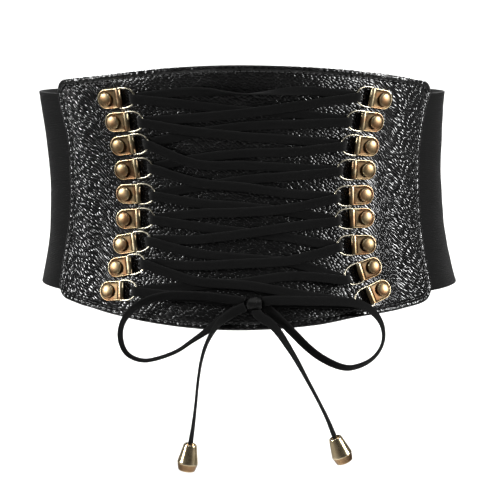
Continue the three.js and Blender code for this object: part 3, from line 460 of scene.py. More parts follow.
def thread_material(name):
    mat, tree, bsdf = material(name)
    pos = node(tree, "ShaderNodeTexCoord").outputs["Object"]
    wave = node(tree, "ShaderNodeTexNoise", {"Vector": pos, "Scale": 2400.0, "Detail": 2.0}).outputs["Fac"]
    tree.links.new(ramp(tree, wave, [(0.3, grey(0.006)), (0.7, grey(0.022))]), bsdf.inputs["Base Color"])
    bump = node(tree, "ShaderNodeBump", {"Height": wave, "Strength": 0.5, "Distance": 0.00008})
    tree.links.new(bump.outputs[0], bsdf.inputs["Normal"])
    bsdf.inputs["Roughness"].default_value = 0.5
    return mat


def plain_material(name, colour, roughness):
    mat, tree, bsdf = material(name)
    pos = node(tree, "ShaderNodeTexCoord").outputs["Object"]
    cloud = node(tree, "ShaderNodeTexNoise", {"Vector": pos, "Scale": 3.0, "Detail": 2.0}).outputs["Fac"]
    tree.links.new(ramp(tree, cloud, [(0.3, tuple(c * 0.985 for c in colour)), (0.7, colour)]), bsdf.inputs["Base Color"])
    bsdf.inputs["Roughness"].default_value = roughness
    return mat


LEATHER = leather_material("panel_leather")
ELASTIC = elastic_material("ribbed_elastic")
SUEDE = suede_material("suede_cord")
PLATE_BRASS = brass_material("antique_brass", (0.050, 0.033, 0.018), (0.27, 0.19, 0.10), (0.66, 0.58, 0.38), (0.32, 0.48), copper=0.6)
RING_BRASS = brass_material("ring_wire", (0.14, 0.12, 0.08), (0.30, 0.27, 0.20), (0.48, 0.45, 0.36), (0.22, 0.36))
END_BRASS = brass_material("cord_end_metal", (0.22, 0.12, 0.06), (0.62, 0.47, 0.26), (0.93, 0.80, 0.55), (0.16, 0.30))
THREAD = thread_material("stitch_thread")

# ------------------------------------------------------------------ camera
DISTANCE, ELEVATION, PER_PIXEL = 1.2, math.radians(5.0), 0.000615
FOCAL_PX = DISTANCE / PER_PIXEL
LOOK_X, LOOK_Y = 246.0, 185.4                     # where the origin lies in the 480 by 480 frame
cam_data = bpy.data.cameras.new("camera")
cam_data.sensor_width = 36.0
cam_data.lens = FOCAL_PX * 36.0 / 480.0
cam_data.clip_start, cam_data.clip_end = 0.05, 50.0
camera = bpy.data.objects.new("camera", cam_data)
SCENE.collection.objects.link(camera)
eye = Vector((0.0, -DISTANCE * math.cos(ELEVATION), DISTANCE * math.sin(ELEVATION)))
ahead = -eye.normalized()
right = Vector((1, 0, 0))
up = right.cross(ahead)
pitch, yaw = math.atan((240 - LOOK_Y) / FOCAL_PX), math.atan((LOOK_X - 240) / FOCAL_PX)
ahead = ahead * math.cos(pitch) - up * math.sin(pitch)
ahead.rotate(Matrix.Rotation(yaw, 3, "Z"))
right = ahead.cross(Vector((0, 0, 1))).normalized()
up = right.cross(ahead)
camera.matrix_world = Matrix.Translation(eye) @ Matrix((right, up, -ahead)).transposed().to_4x4()
SCENE.camera = camera


# ------------------------------------------------------------------ flat cord
def stations_to_frames(stations, step=1.1):
    """Stations (point, width direction) to an even, smooth run of frames."""
    pts = np.array([s[0] for s in stations])
    wide = unit(np.array([s[1] for s in stations]))
    n = len(pts)
    seg = np.linalg.norm(np.diff(pts, axis=0), axis=1)
    knots = np.concatenate([[0], np.cumsum(np.sqrt(seg))])
    length = np.concatenate([[0], np.cumsum(seg)])
    count = max(8, int(length[-1] / step))
    # parameter for even steps along the length
    want = np.linspace(0, length[-1], count)
    t = np.interp(want, length, knots)

    def curve(values):
        m = np.empty_like(values)
        d = np.diff(values, axis=0) / np.diff(knots)[:, None]
        w0, w1 = np.diff(knots)[:-1, None], np.diff(knots)[1:, None]
        m[1:-1] = (d[:-1] * w1 + d[1:] * w0) / (w0 + w1)
        m[0], m[-1] = d[0], d[-1]
        i = np.clip(np.searchsorted(knots, t, side="right") - 1, 0, n - 2)
        h = (knots[i + 1] - knots[i])[:, None]
        u = ((t - knots[i])[:, None]) / h
        return ((2 * u**3 - 3 * u * u + 1) * values[i] + (u**3 - 2 * u * u + u) * h * m[i]
                + (3 * u * u - 2 * u**3) * values[i + 1] + (u**3 - u * u) * h * m[i + 1])

    p, w = curve(pts), unit(curve(wide))
    along = unit(np.gradient(p, axis=0))
    w = unit(w - along * np.sum(w * along, 1, keepdims=True))
    flat = unit(np.cross(along, w))
    return p, along, w, flat


RIM_WEAR = 0.35


def wander(count, step, scale, seed):
    """A smooth random value along a length, about -1 to 1."""
    r = np.random.default_rng(seed)
    knots = int(count * step / scale) + 4
    return np.interp(np.linspace(0, knots - 1, count), np.arange(knots), r.uniform(-1, 1, knots)) if knots > 4 else np.zeros(count)


def ribbon(name, stations, width=CORD_WIDTH, thick=CORD_THICK, seed=1, cup=0.12, rough=0.10, step=1.1, caps=True):
    """The flat cord as a closed mesh: rounded cut edges, a slight cup and an uneven edge."""
    p, along, w, flat = stations_to_frames(stations, step)
    n = len(p)
    # section, anticlockwise: (across, thickness, rim)
    hw, ht = width / 2, thick / 2
    section = [(-1, 0.0, 1), (-0.965, 0.62, 0.9), (-0.86, 0.98, 0.35), (-0.45, 1.0, 0), (0, 1.0, 0), (0.45, 1.0, 0),
               (0.86, 0.98, 0.35), (0.965, 0.62, 0.9), (1, 0.0, 1), (0.965, -0.62, 0.9), (0.86, -0.98, 0.35),
               (0.45, -1.0, 0), (0, -1.0, 0), (-0.45, -1.0, 0), (-0.86, -0.98, 0.35), (-0.965, -0.62, 0.9)]
    m = len(section)
    left = 1 + rough * 0.35 * wander(n, step, 9, seed) + rough * 0.25 * wander(n, step, 1.7, seed + 7)
    right_ = 1 + rough * 0.35 * wander(n, step, 11, seed + 3) + rough * 0.25 * wander(n, step, 1.9, seed + 9)
    lift = cup * (0.4 + 0.6 * wander(n, step, 22, seed + 5))
    verts = np.zeros((n, m, 3))
    rim = np.zeros((n, m))
    uv = np.zeros((n, m, 2))
    travel = np.concatenate([[0], np.cumsum(np.linalg.norm(np.diff(p, axis=0), axis=1))])
    for j, (a, h, e) in enumerate(section):
        side = left if a < 0 else right_
        across = a * hw * side
        verts[:, j] = p + w * across[:, None] + flat * ((h * ht) + lift * (a * a - 0.35) * 1.0)[:, None]
        rim[:, j] = e
        uv[:, j, 0] = travel / 10
        uv[:, j, 1] = a * hw / 10 + (0.0 if h >= 0 else 1.0)
    # the nap is drawn lighter grey where the cord folds sharply: partly rubbed nap, partly a painted highlight on the
    # fold's crest
    turned = np.linalg.norm(np.gradient(along, axis=0), axis=1) / step
    turned = np.convolve(turned, np.ones(3) / 3, mode="same")
    rim = np.maximum(rim * RIM_WEAR, np.clip((turned - 0.22) / 0.35, 0, 1)[:, None])
    faces = list(grid_faces(n, m, closed_v=True))
    flat_verts = verts.reshape(-1, 3)
    obj_faces = [tuple(f) for f in faces]
    if caps:
        obj_faces.append(tuple(range(m)))
        obj_faces.append(tuple(reversed(range((n - 1) * m, n * m))))
    obj = new_mesh(name, flat_verts, obj_faces)
    orient_out(obj)
    add_uv(obj, uv.reshape(-1, 2))
    add_value(obj, rim.reshape(-1), "rim")
    obj.data.materials.append(SUEDE)
    return obj, p


def route(rows):
    pts = [over_panel(x, z, level) for x, z, level, _ in rows]
    stations = []
    for i, (x, z, level, face) in enumerate(rows):
        along = unit(pts[min(i + 1, len(rows) - 1)] - pts[max(i - 1, 0)])
        out = unit(over_panel(x, z, level + 1) - pts[i])
        side = unit(np.cross(along, out))
        turn = math.radians(face)
        stations.append((pts[i], side * math.sin(turn) + out * math.cos(turn)))
    return stations


def hook_frame(side, degrees, z, turn):
    """Hook axes in mm: columns x (rivet to ring), y (across), z (out), and its place."""
    angle, e = math.radians(degrees), 1e-3
    across = surface(np.float64(angle + e), z, PANEL_FRONT) - surface(np.float64(angle - e), z, PANEL_FRONT)
    rise = surface(np.float64(angle), z + e, PANEL_FRONT) - surface(np.float64(angle), z - e, PANEL_FRONT)
    out = unit(np.cross(across, rise))
    rise = unit(rise)
    toward = unit(np.cross(rise, out)) * -side
    c, s = math.cos(math.radians(turn)), math.sin(math.radians(turn))
    way = toward * c + np.cross(out, toward) * s + out * (out @ toward) * (1 - c)
    return np.column_stack([way, unit(np.cross(out, way)), out]), surface(np.float64(angle), z, PANEL_FRONT) + out * GAP


HOOKS = {"l": [hook_frame(-1, r[0], r[1], r[2]) for r in HOOK_ROWS],
         "r": [hook_frame(1, r[3], r[4], r[5]) for r in HOOK_ROWS]}


FOLD_IN, FOLD_DOWN, FOLD_SLANT = 3.0, 0.8, 0.35


def fold_stations(side, index):
    axes, place = HOOKS[side][index]
    up_ = 1 if side == "l" else -1
    wide = axes[:, 1] * up_
    out = []
    over = WIRE_RADIUS + GAP + CORD_THICK / 2
    for turn, slant in ((-90, -1), (-140, -0.5), (180, 0), (140, 0.5), (90, 1)):
        x = FOLD_REACH + RING_REACH + (0 if abs(turn) == 90 else FOLD_IN * math.cos(math.radians(turn)))
        y = -up_ * (FOLD_DOWN + slant * FOLD_SLANT)
        z = FOLD_HEIGHT + over * math.sin(math.radians(turn))
        out.append((place + axes @ np.array([x, y, z]), wide))
    return out


def strand_stations(start, end, levels, bend):
    """levels: rows of (along, level, twist in degrees)."""
    a, b = locate(start), locate(end)
    off = np.array([(0, 0), (0.25, bend[0]), (0.5, bend[1]), (0.75, bend[2]), (1, 0)], float)
    out = []
    for s, level, twist in levels:
        angle = a[0] + (b[0] - a[0]) * s
        z = start[2] + (end[2] - start[2]) * s + float(table(off, 1, s))
        at = surface(np.float64(angle), z, PANEL_FRONT + level)
        wide = unit(surface(np.float64(angle), z + 0.5, PANEL_FRONT) - surface(np.float64(angle), z - 0.5, PANEL_FRONT))
        away = surface(np.float64(angle), z, PANEL_FRONT + 1) - surface(np.float64(angle), z, PANEL_FRONT)
        turn = math.radians(twist)
        out.append((at, wide * math.cos(turn) + away * math.sin(turn)))
    return out


def levels_of(kind):
    return [(s, level, 0.0) for s, level in zip(STRAND_ALONG, STRAND_LEVELS[kind])]


def lacing_run(first):
    stations, side = [], first
    for index in range(9):
        fold = fold_stations(side, index)
        stations += fold
        if index == 8:
            break
        other = "r" if side == "l" else "l"
        nxt = fold_stations(other, index + 1)
        kind, bend = STRANDS[index][side]
        stations += strand_stations(fold[-1][0], nxt[0][0], levels_of(kind), bend)
        side = other
    sign = -1 if side == "l" else 1
    end = over_panel(KNOT["x"] + sign * (KNOT["wide"] / 2 + GAP), KNOT["z"] + (0.2 if side == "l" else 0), 1.9)
    stations += strand_stations(stations[-1][0], end, levels_of("last"), (0, 0, 0))
    stations.append((end, np.array([0, 0, 1.0])))
    return stations


# the free cords first
def cord_piece(name, node_name, rows, seed):
    stations = route(rows)
    obj, path = ribbon(name, stations, seed=seed, cup=0.16)
    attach(obj, "root")
    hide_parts(node_name)
    return obj, stations


# ------------------------------------------------------------------ cord ends
def lathe(profile, segments=48, tones=None):
    """Closed surface of revolution round Z: profile is (radius, z) from the axis to the axis."""
    pts = [(r, z) for r, z in profile]
    rings, verts, tone = [], [], []
    for k, (r, z) in enumerate(pts):
        if r < 1e-6:
            rings.append([len(verts)])
            verts.append((0, 0, z))
            tone.append(tones[k] if tones else 0.5)
        else:
            rings.append(list(range(len(verts), len(verts) + segments)))
            for i in range(segments):
                a = 2 * math.pi * i / segments
                verts.append((r * math.cos(a), r * math.sin(a), z))
                tone.append(tones[k] if tones else 0.5)
    faces = []
    for a, b in zip(rings, rings[1:]):
        for i in range(segments):
            j = (i + 1) % segments
            if len(a) == 1 and len(b) == 1:
                continue
            if len(a) == 1:
                faces.append((a[0], b[i], b[j]))
            elif len(b) == 1:
                faces.append((a[i], b[0], a[j]))
            else:
                faces.append((a[i], b[i], b[j], a[j]))
    return np.array(verts), faces, np.array(tone)


# (down, radius, tone): solid bell with a mouth for the cord, a seam line and a rolled lip
END_PROFILE = [
    (3.0, 0.0, 0.0), (3.0, 2.0, 0.0), (0.9, 2.65, 0.05), (0.25, 2.8, 0.5), (0.0, 3.1, 0.9), (0.0, 3.45, 0.95), (0.2, 3.7, 0.95),
    (0.6, 3.86, 0.8), (1.6, 4.07, 0.68), (4.0, 4.57, 0.64), (7.0, 5.19, 0.62), (9.6, 5.74, 0.66), (10.5, 5.94, 0.8),
    (10.9, 6.03, 0.95), (11.2, 6.02, 0.85), (11.45, 5.92, 0.35), (11.65, 5.84, 0.12), (13.2, 5.44, 0.08), (14.6, 5.08, 0.08),
    (15.3, 4.85, 0.2), (15.62, 4.6, 0.45), (15.76, 4.2, 0.35), (15.8, 3.6, 0.15), (15.8, 0.0, 0.2)]


def cord_end(name, node_name, stations):
    last, before = stations[-1][0], stations[-2][0]
    along = unit(last - before)
    verts, faces, tone = lathe([(r, -d) for d, r, _ in END_PROFILE], 56, [t for _, _, t in END_PROFILE])
    rot = Vector((0, 0, -1)).rotation_difference(Vector(along.tolist())).to_matrix()
    verts = verts @ np.array(rot).T + last + along * GAP
    obj = new_mesh(name, verts, faces)
    orient_out(obj)
    add_value(obj, tone, "tone")
    obj.data.materials.append(END_BRASS)
    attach(obj, "root")
    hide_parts(node_name)
    return obj


left_tail_stations, right_tail_stations = route(LEFT_TAIL), route(RIGHT_TAIL)
end_left = cord_end("bell_end_left", "cord_end_left", left_tail_stations)
end_right = cord_end("bell_end_right", "cord_end_right", right_tail_stations)
cord_piece("cord_loop_left", "bow_loop_left", LEFT_LOOP, 11)
cord_piece("cord_loop_right", "bow_loop_right", RIGHT_LOOP, 23)
cord_piece("cord_tail_left", "lace_tail_left", LEFT_TAIL, 37)
cord_piece("cord_tail_right", "lace_tail_right", RIGHT_TAIL, 41)

# the laced stretch
left_run, right_run = lacing_run("l"), lacing_run("r")
bar = strand_stations(left_run[0][0], right_run[0][0], BAR_LEVELS, BAR_BEND)
right_run = [(at, -wide) for at, wide in right_run]      # the cord turns over once in the top strand
laced, _ = ribbon("laced_cord", left_run[::-1] + bar + right_run, seed=5, cup=0.08)
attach(laced, "root")
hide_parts("lacing")


# the knot: the cord wrapped round the crossing of the bow
def knot_piece():
    centre = over_panel(KNOT["x"], KNOT["z"], KNOT["level"])
    parts = []
    # the wrap: a band round the bundle, leaning a little
    for k, (dx, lean, wide, tall, deep, thick) in enumerate([(-1.1, 0.30, 5.2, 2.5, 3.2, 1.0), (1.9, -0.22, 4.6, 2.35, 2.9, 1.0)]):
        stations = []
        for a in np.linspace(0, 2 * math.pi, 25)[:-1]:
            ca, sa = math.cos(a), math.sin(a)
            r = (abs(ca) ** 3.2 + abs(sa) ** 3.2) ** (-1 / 3.2)
            y, z = -ca * r * deep, sa * r * tall
            stations.append((centre + np.array([dx + lean * z * 0.5, y, z]), unit(np.array([1.0, 0.05 * ca, lean * 0.5]))))
        stations.append(stations[0])
        p, along, w, flat = stations_to_frames(stations, 0.5)
        obj, _ = ribbon(f"knot_wrap_{k}", stations, width=wide, thick=thick, seed=60 + k, cup=0.25, step=0.45)
        parts.append(obj)
    # what it is wrapped round
    import bmesh
    bm = bmesh.new()
    bmesh.ops.create_cube(bm, size=2.0)
    bmesh.ops.subdivide_edges(bm, edges=bm.edges, cuts=7, use_grid_fill=True)
    for v in bm.verts:
        c = v.co
        m, s = max(abs(c.x), abs(c.y), abs(c.z)), (abs(c.x) ** 4 + abs(c.y) ** 4 + abs(c.z) ** 4) ** 0.25
        c *= m / s
        wave = 0.10 * math.sin(c.x * 5.0 + c.z * 3.0) + 0.06 * math.sin(c.z * 9.0)
        v.co = (Vector((c.x * 4.35, c.y * 2.7 + wave, c.z * 2.1 + wave)) + Vector(centre.tolist())) * 0.001
    mesh = bpy.data.meshes.new("knot_core")
    bm.to_mesh(mesh)
    bm.free()
    mesh.shade_smooth()
    core = bpy.data.objects.new("knot_core", mesh)
    SCENE.collection.objects.link(core)
    co = np.array([v.co for v in mesh.vertices]) * 1000
    add_uv(core, np.stack([co[:, 0] / 10, co[:, 2] / 10], -1))
    add_value(core, np.zeros(len(co)), "rim")
    mesh.materials.append(SUEDE)
    parts.append(core)
    return join("tied_knot", parts)


knot = knot_piece()
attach(knot, "root")
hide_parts("bow_knot")


# ------------------------------------------------------------------ the leather panel
def panel_grid(share_d, v_rows):
    """angle and z grids for columns (share, d) and rows (fraction, mm from top, mm from bottom)."""
    share = np.array([s for s, _ in share_d])[:, None]
    d = np.array([x for _, x in share_d])[:, None]
    inset = CORNER - np.sqrt(np.maximum(0, CORNER**2 - (CORNER - d) ** 2))
    v = np.asarray(v_rows)[None, :]
    angle = share * 60 + 0 * v
    for _ in range(5):
        top = table(TOP_EDGE, 1, angle) - inset
        bottom = table(BOTTOM_EDGE, 1, angle) + inset
        z = bottom + (top - bottom) * v
        angle = np.where(share < 0, -share * table(SIDE_EDGES, 1, z), share * table(SIDE_EDGES, 2, z))
    top_cut = table(TOP_EDGE, 1, angle)
    bottom_cut = table(BOTTOM_EDGE, 1, angle)
    return angle, z, d + 0 * z, top_cut - z, z - bottom_cut


def edge_distance(d, down, up_):
    """Distance in from the outline, with its rounded corners."""
    w = np.minimum(down, up_)
    corner = (d < CORNER) & (w < CORNER)
    return np.where(corner, CORNER - np.hypot(CORNER - d, CORNER - w), np.minimum(d, w))


PER_DEGREE = 1.66
fine_d = [0, 0.12, 0.35, 0.7, 1.1, 1.6, 2.1, 2.6, 3.0, 3.3, 3.6, 3.9, 4.3, 4.8, 5.5, 6.4, 7.5, 9.0]
inner = 60 - 9.0 / PER_DEGREE
columns = [(-(60 - d / PER_DEGREE) / 60, d) for d in fine_d]
mids = 190
columns += [((-inner + 2 * inner * k / mids) / 60, 9.0) for k in range(1, mids)]
columns += [((60 - d / PER_DEGREE) / 60, d) for d in fine_d[::-1]]
# rows: fine near the edges (heights vary, so as fractions of about 140 mm)
edge_rows = np.array([0, 0.12, 0.35, 0.7, 1.1, 1.6, 2.1, 2.6, 3.0, 3.3, 3.6, 3.9, 4.3, 4.8, 5.6, 6.6, 8.0]) / 143.0
rows = np.concatenate([edge_rows, np.linspace(edge_rows[-1], 1 - edge_rows[-1], 104)[1:-1], 1 - edge_rows[::-1]])
angle, z, d, down, up_ = panel_grid(columns, rows)
dist = edge_distance(d, down, up_)
half_wall = PANEL_WALL / 2
back = GAP + (ELASTIC_WALL + 0.15) * smoothstep(np.abs(angle), TUCK_FROM, TUCK_TO)
middle = back + half_wall
roll = np.where(dist < 1.0, np.sqrt(np.clip(1 - (1 - np.clip(dist, 0, 1)) ** 2, 0, 1)), 1.0)
rim_puff = 0.22 * np.exp(-((dist - 1.6) / 1.0) ** 2)
groove = -0.55 * np.exp(-((dist - 3.6) / 0.55) ** 2)
field_puff = 0.20 * smoothstep(dist, 4.0, 7.0)
rad = np.radians(angle)
arc = np.degrees(1) * 0 + rad * 108.0               # mm round the front, near enough for texture
# soft unevenness: slanting folds, stronger on the flanks


def folds(s, t):
    q = (s * math.cos(math.radians(42)) - t * math.sin(math.radians(42)))
    r = (s * math.sin(math.radians(42)) + t * math.cos(math.radians(42)))
    return (0.5 * np.sin(r / 3.1 + 1.3 * np.sin(q / 17.0) + 0.7 * np.sin(r / 13.0))
            + 0.35 * np.sin(r / 1.9 + 2.1 * np.sin(q / 11.0 + 1.0))
            + 0.5 * np.sin(r / 9.0 + q / 31.0))


flank = smoothstep(np.abs(angle), 30, 44)
uneven = folds(arc, z) * (0.05 + 0.10 * flank) * smoothstep(dist, 4.2, 9.0)
front = middle + half_wall * roll + (rim_puff + groove + field_puff) * np.where(dist < 0.6, dist / 0.6, 1) + uneven
back_face = middle - half_wall * roll
panel = cloth_shell("leather_panel", rad, z, back_face, front)
orient_out(panel)
n = angle.size
uv = np.stack([arc / 10, z / 10], -1).reshape(-1, 2)
add_uv(panel, np.vstack([uv, uv + np.array([3.7, 1.9])]))
field = smoothstep(dist, 3.5, 4.6).reshape(-1)
edge_speck = 0.28 * np.exp(-((dist - 2.3) / 0.8) ** 2).reshape(-1)
add_value(panel, np.concatenate([np.maximum(field, edge_speck), np.full(n, 0.35)]), "field")
add_value(panel, np.concatenate([smoothstep(np.abs(angle), 33, 45).reshape(-1)] * 2), "stretch")
side_run = np.where(np.minimum(down, up_) < d, arc, z)
add_value(panel, np.concatenate([side_run.reshape(-1)] * 2), "run")
add_value(panel, np.concatenate([dist.reshape(-1), np.full(n, 9.0)]), "inset")
panel.data.materials.append(LEATHER)
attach(panel, "root")
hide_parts("front_panel")


# stitches in the groove, all round
def front_point(angle_deg, z_):
    b = GAP + (ELASTIC_WALL + 0.15) * float(smoothstep(abs(angle_deg), TUCK_FROM, TUCK_TO))
    return b + PANEL_WALL


def outline_loop(inset_mm, count=900):
    """Points (angle, z) along the panel's outline, moved in by inset_mm."""
    pts = []
    r = CORNER - inset_mm
    def add(d_, w_, top_, left_):
        pts.append((d_, w_, top_, left_))
    # top edge, left to right, by share
    loop = []
    for share in np.linspace(-inner / 60, inner / 60, 220):
        loop.append(("top", share))
    for a in np.linspace(0, 90, 12)[1:]:
        loop.append(("tr", a))
    for f in np.linspace(0, 1, 110)[1:]:
        loop.append(("right", f))
    for a in np.linspace(0, 90, 12)[1:]:
        loop.append(("br", a))
    for share in np.linspace(inner / 60, -inner / 60, 220)[1:]:
        loop.append(("bottom", share))
    for a in np.linspace(0, 90, 12)[1:]:
        loop.append(("bl", a))
    for f in np.linspace(0, 1, 110)[1:]:
        loop.append(("left", f))
    for a in np.linspace(0, 90, 12)[1:-1]:
        loop.append(("tl", a))
    out = []
    for kind, t in loop:
        if kind in ("top", "bottom"):
            share_, w_ = t, inset_mm
            top = kind == "top"
        elif kind in ("tr", "tl", "br", "bl"):
            a_ = math.radians(t)
            # distance in from the side, and from the top or bottom
            if kind in ("tr", "bl"):
                d_, w_ = CORNER - r * math.sin(a_), CORNER - r * math.cos(a_)
            else:
                d_, w_ = CORNER - r * math.cos(a_), CORNER - r * math.sin(a_)
            share_ = (60 - d_ / PER_DEGREE) / 60 * (1 if kind in ("tr", "br") else -1)
            top = kind in ("tr", "tl")
        else:
            share_ = (60 - inset_mm / PER_DEGREE) / 60 * (1 if kind == "right" else -1)
            w_ = None
        ang = share_ * 60
        zz = 0.0
        for _ in range(5):
            tz, bz = float(table(TOP_EDGE, 1, ang)), float(table(BOTTOM_EDGE, 1, ang))
            if w_ is None:
                f = t if kind == "right" else 1 - t
                zz = (tz - CORNER) * (1 - f) + (bz + CORNER) * f
            else:
                zz = tz - w_ if top else bz + w_
            ang = -share_ * float(table(SIDE_EDGES, 1, zz)) if share_ < 0 else share_ * float(table(SIDE_EDGES, 2, zz))
        out.append((ang, zz))
    return out


def stitch_mesh(name, points, normals, pitch=3.6, length=2.6, radius=0.33, lift=0.0, seed=3):
    """Capsule stitches along a closed line of points (mm)."""
    pts, nrm = np.array(points), np.array(normals)
    closed = np.vstack([pts, pts[:1]])
    cum = np.concatenate([[0], np.cumsum(np.linalg.norm(np.diff(closed, axis=0), axis=1))])
    total = cum[-1]
    count = int(total / pitch)
    r = np.random.default_rng(seed)
    verts, faces = [], []
    segs, rings = 8, [(-1.0, 0.15), (-0.93, 0.6), (-0.72, 0.92), (-0.3, 1.0), (0.3, 1.0), (0.72, 0.92), (0.93, 0.6), (1.0, 0.15)]
    nclosed = np.vstack([nrm, nrm[:1]])
    for k in range(count):
        s = (k + 0.5) * total / count
        at = np.array([np.interp(s, cum, closed[:, i]) for i in range(3)])
        a2 = np.array([np.interp(s + 0.8, cum, closed[:, i]) for i in range(3)])
        a1 = np.array([np.interp(s - 0.8, cum, closed[:, i]) for i in range(3)])
        nn = unit(np.array([np.interp(s, cum, nclosed[:, i]) for i in range(3)]))
        t = unit(a2 - a1)
        side = unit(np.cross(nn, t))
        t = unit(t + side * r.uniform(-0.09, 0.09))
        side = unit(np.cross(nn, t))
        base = len(verts)
        for f, q in rings:
            c = at + t * (f * length / 2) + nn * (lift - 0.30 * abs(f) ** 3)
            for j in range(segs):
                a = 2 * math.pi * j / segs
                verts.append(c + (side * math.cos(a) * 1.15 + nn * math.sin(a) * 0.85) * radius * q)
        for i in range(len(rings) - 1):
            for j in range(segs):
                j2 = (j + 1) % segs
                faces.append((base + i * segs + j, base + i * segs + j2, base + (i + 1) * segs + j2, base + (i + 1) * segs + j))
        faces.append(tuple(base + j for j in reversed(range(segs))))
        faces.append(tuple(base + (len(rings) - 1) * segs + j for j in range(segs)))
    obj = new_mesh(name, np.array(verts), faces)
    orient_out(obj)
    obj.data.materials.append(THREAD)
    return obj


line = outline_loop(3.6)
seam_pts, seam_nrm = [], []
for a_, z_ in line:
    o_ = front_point(a_, z_)
    p0 = surface(np.float64(math.radians(a_)), z_, o_ - 0.15)
    p1 = surface(np.float64(math.radians(a_)), z_, o_ + 0.85)
    seam_pts.append(p0)
    seam_nrm.append(p1 - p0)
stitches = stitch_mesh("panel_stitches", seam_pts, seam_nrm)
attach(stitches, "root")


# ------------------------------------------------------------------ elastic and the back strip
def elastic_piece(name, node_name, a0, a1, seed):
    nu, nv = 230, 96
    edge_mm = np.array([0, 0.2, 0.5, 0.9, 1.6, 2.6, 3.6]) / ELASTIC_HEIGHT
    vrows = np.concatenate([edge_mm, np.linspace(edge_mm[-1], 1 - edge_mm[-1], nv)[1:-1], 1 - edge_mm[::-1]])
    a = np.radians(np.linspace(a0, a1, nu))[:, None] + 0 * vrows[None, :]
    h = ELASTIC_HEIGHT / 2
    zz = h * (2 * vrows[None, :] - 1) + 0 * a
    s = a * 108.0
    dist_ = np.minimum(zz + h, h - zz)
    half = ELASTIC_WALL / 2
    roll_ = np.where(dist_ < 0.5, np.sqrt(np.clip(1 - (1 - dist_ / 0.5) ** 2, 0, 1)), 1.0)
    roll_ = np.where(dist_ <= 0, 0.15, roll_)
    r = np.random.default_rng(seed)
    ph = r.uniform(0, 6, 6)
    # creases that run round and a firmer edge
    crease = (0.10 * np.sin(zz / 5.2 + ph[0] + 1.2 * np.sin(s / 31 + ph[1])) * np.sin(s / 23 + ph[2])
              + 0.06 * np.sin(zz / 2.3 + ph[3] + 1.5 * np.sin(s / 19 + ph[4])) * np.sin(s / 14 + ph[5]))
    selvage = -0.10 * np.exp(-((dist_ - 3.0) / 0.7) ** 2)
    front_ = half + half * roll_ + crease + selvage
    back_ = half - half * roll_ + crease
    obj = cloth_shell(name, a, zz, back_, front_)
    orient_out(obj)
    uv_ = np.stack([s / 10, zz / 10], -1).reshape(-1, 2)
    add_uv(obj, np.vstack([uv_, uv_]))
    obj.data.materials.append(ELASTIC)
    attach(obj, "root")
    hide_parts(node_name)
    mid = surface(np.radians(np.linspace(a0, a1, 200)), np.zeros(200), 0.8)
    return obj


elastic_l = elastic_piece("elastic_band_left", "elastic_left", -179.8, -ELASTIC_FROM, 5)
elastic_r = elastic_piece("elastic_band_right", "elastic_right", ELASTIC_FROM, 179.8, 9)

clasp_half = math.degrees(15.0 / 118.2)
cols = np.linspace(-1, 1, 46)
cu = np.sign(cols) * (1 - (1 - np.abs(cols)) ** 1.4)
cv_edge = np.array([0, 0.2, 0.6, 1.2, 2.0, 2.8, 3.4, 4.2, 5.2]) / ELASTIC_HEIGHT
cv = np.concatenate([cv_edge, np.linspace(cv_edge[-1], 1 - cv_edge[-1], 90)[1:-1], 1 - cv_edge[::-1]])
ca = np.radians(180 + clasp_half * cu)[:, None] + 0 * cv[None, :]
cz = (ELASTIC_HEIGHT / 2) * (2 * cv[None, :] - 1) + 0 * ca
cd = np.minimum(15 * (1 - np.abs(cu))[:, None] + 0 * cz, np.minimum(ELASTIC_HEIGHT / 2 - cz, cz + ELASTIC_HEIGHT / 2))
croll = np.where(cd < 0.9, np.sqrt(np.clip(1 - (1 - cd / 0.9) ** 2, 0, 1)), 1.0)
croll = np.where(cd <= 0, 0.1, croll)
cmid = ELASTIC_WALL + GAP + 1.1
cfront = cmid + 1.1 * croll - 0.45 * np.exp(-((cd - 3.4) / 0.5) ** 2) + 0.05 * np.sin(cz / 9.0)
clasp = cloth_shell("back_strip", ca, cz, cmid - 1.1 * croll, cfront)
orient_out(clasp)
cuv = np.stack([ca * 10.8, cz / 10], -1).reshape(-1, 2)
add_uv(clasp, np.vstack([cuv, cuv]))
cf = smoothstep(cd, 3.2, 4.4).reshape(-1)
add_value(clasp, np.concatenate([cf, 0 * cf + 0.3]), "field")
clasp.data.materials.append(LEATHER)
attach(clasp, "root")
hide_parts("back_clasp")
cs_pts, cs_nrm = [], []
hh, ww = ELASTIC_HEIGHT / 2 - 3.4, clasp_half * (1 - 3.4 / 15)
ring_ = ([(180 - ww + 2 * ww * t, hh) for t in np.linspace(0, 1, 12)] + [(180 + ww, hh - 2 * hh * t) for t in np.linspace(0, 1, 60)[1:]]
         + [(180 + ww - 2 * ww * t, -hh) for t in np.linspace(0, 1, 12)[1:]] + [(180 - ww, -hh + 2 * hh * t) for t in np.linspace(0, 1, 60)[1:-1]])
for a_, z_ in ring_:
    p0 = surface(np.float64(math.radians(a_)), z_, cmid + 1.0)
    p1 = surface(np.float64(math.radians(a_)), z_, cmid + 2.0)
    cs_pts.append(p0)
    cs_nrm.append(p1 - p0)
clasp_stitches = stitch_mesh("back_strip_stitches", cs_pts, cs_nrm, seed=8)
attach(clasp_stitches, "root")


# ------------------------------------------------------------------ hooks
def stadium(inset, z_, length=8.5, radius=5.7, arc=24):
    """Outline of the plate, moved in: round at the rivet end, square at the barrel."""
    r = radius - inset
    pts = [(length, -r, z_), (length * 0.5, -r, z_)]
    for i in range(arc + 1):
        a = -math.pi / 2 - math.pi * i / arc
        pts.append((r * math.cos(a), r * math.sin(a), z_))
    pts += [(length * 0.5, r, z_), (length, r, z_)]
    return pts


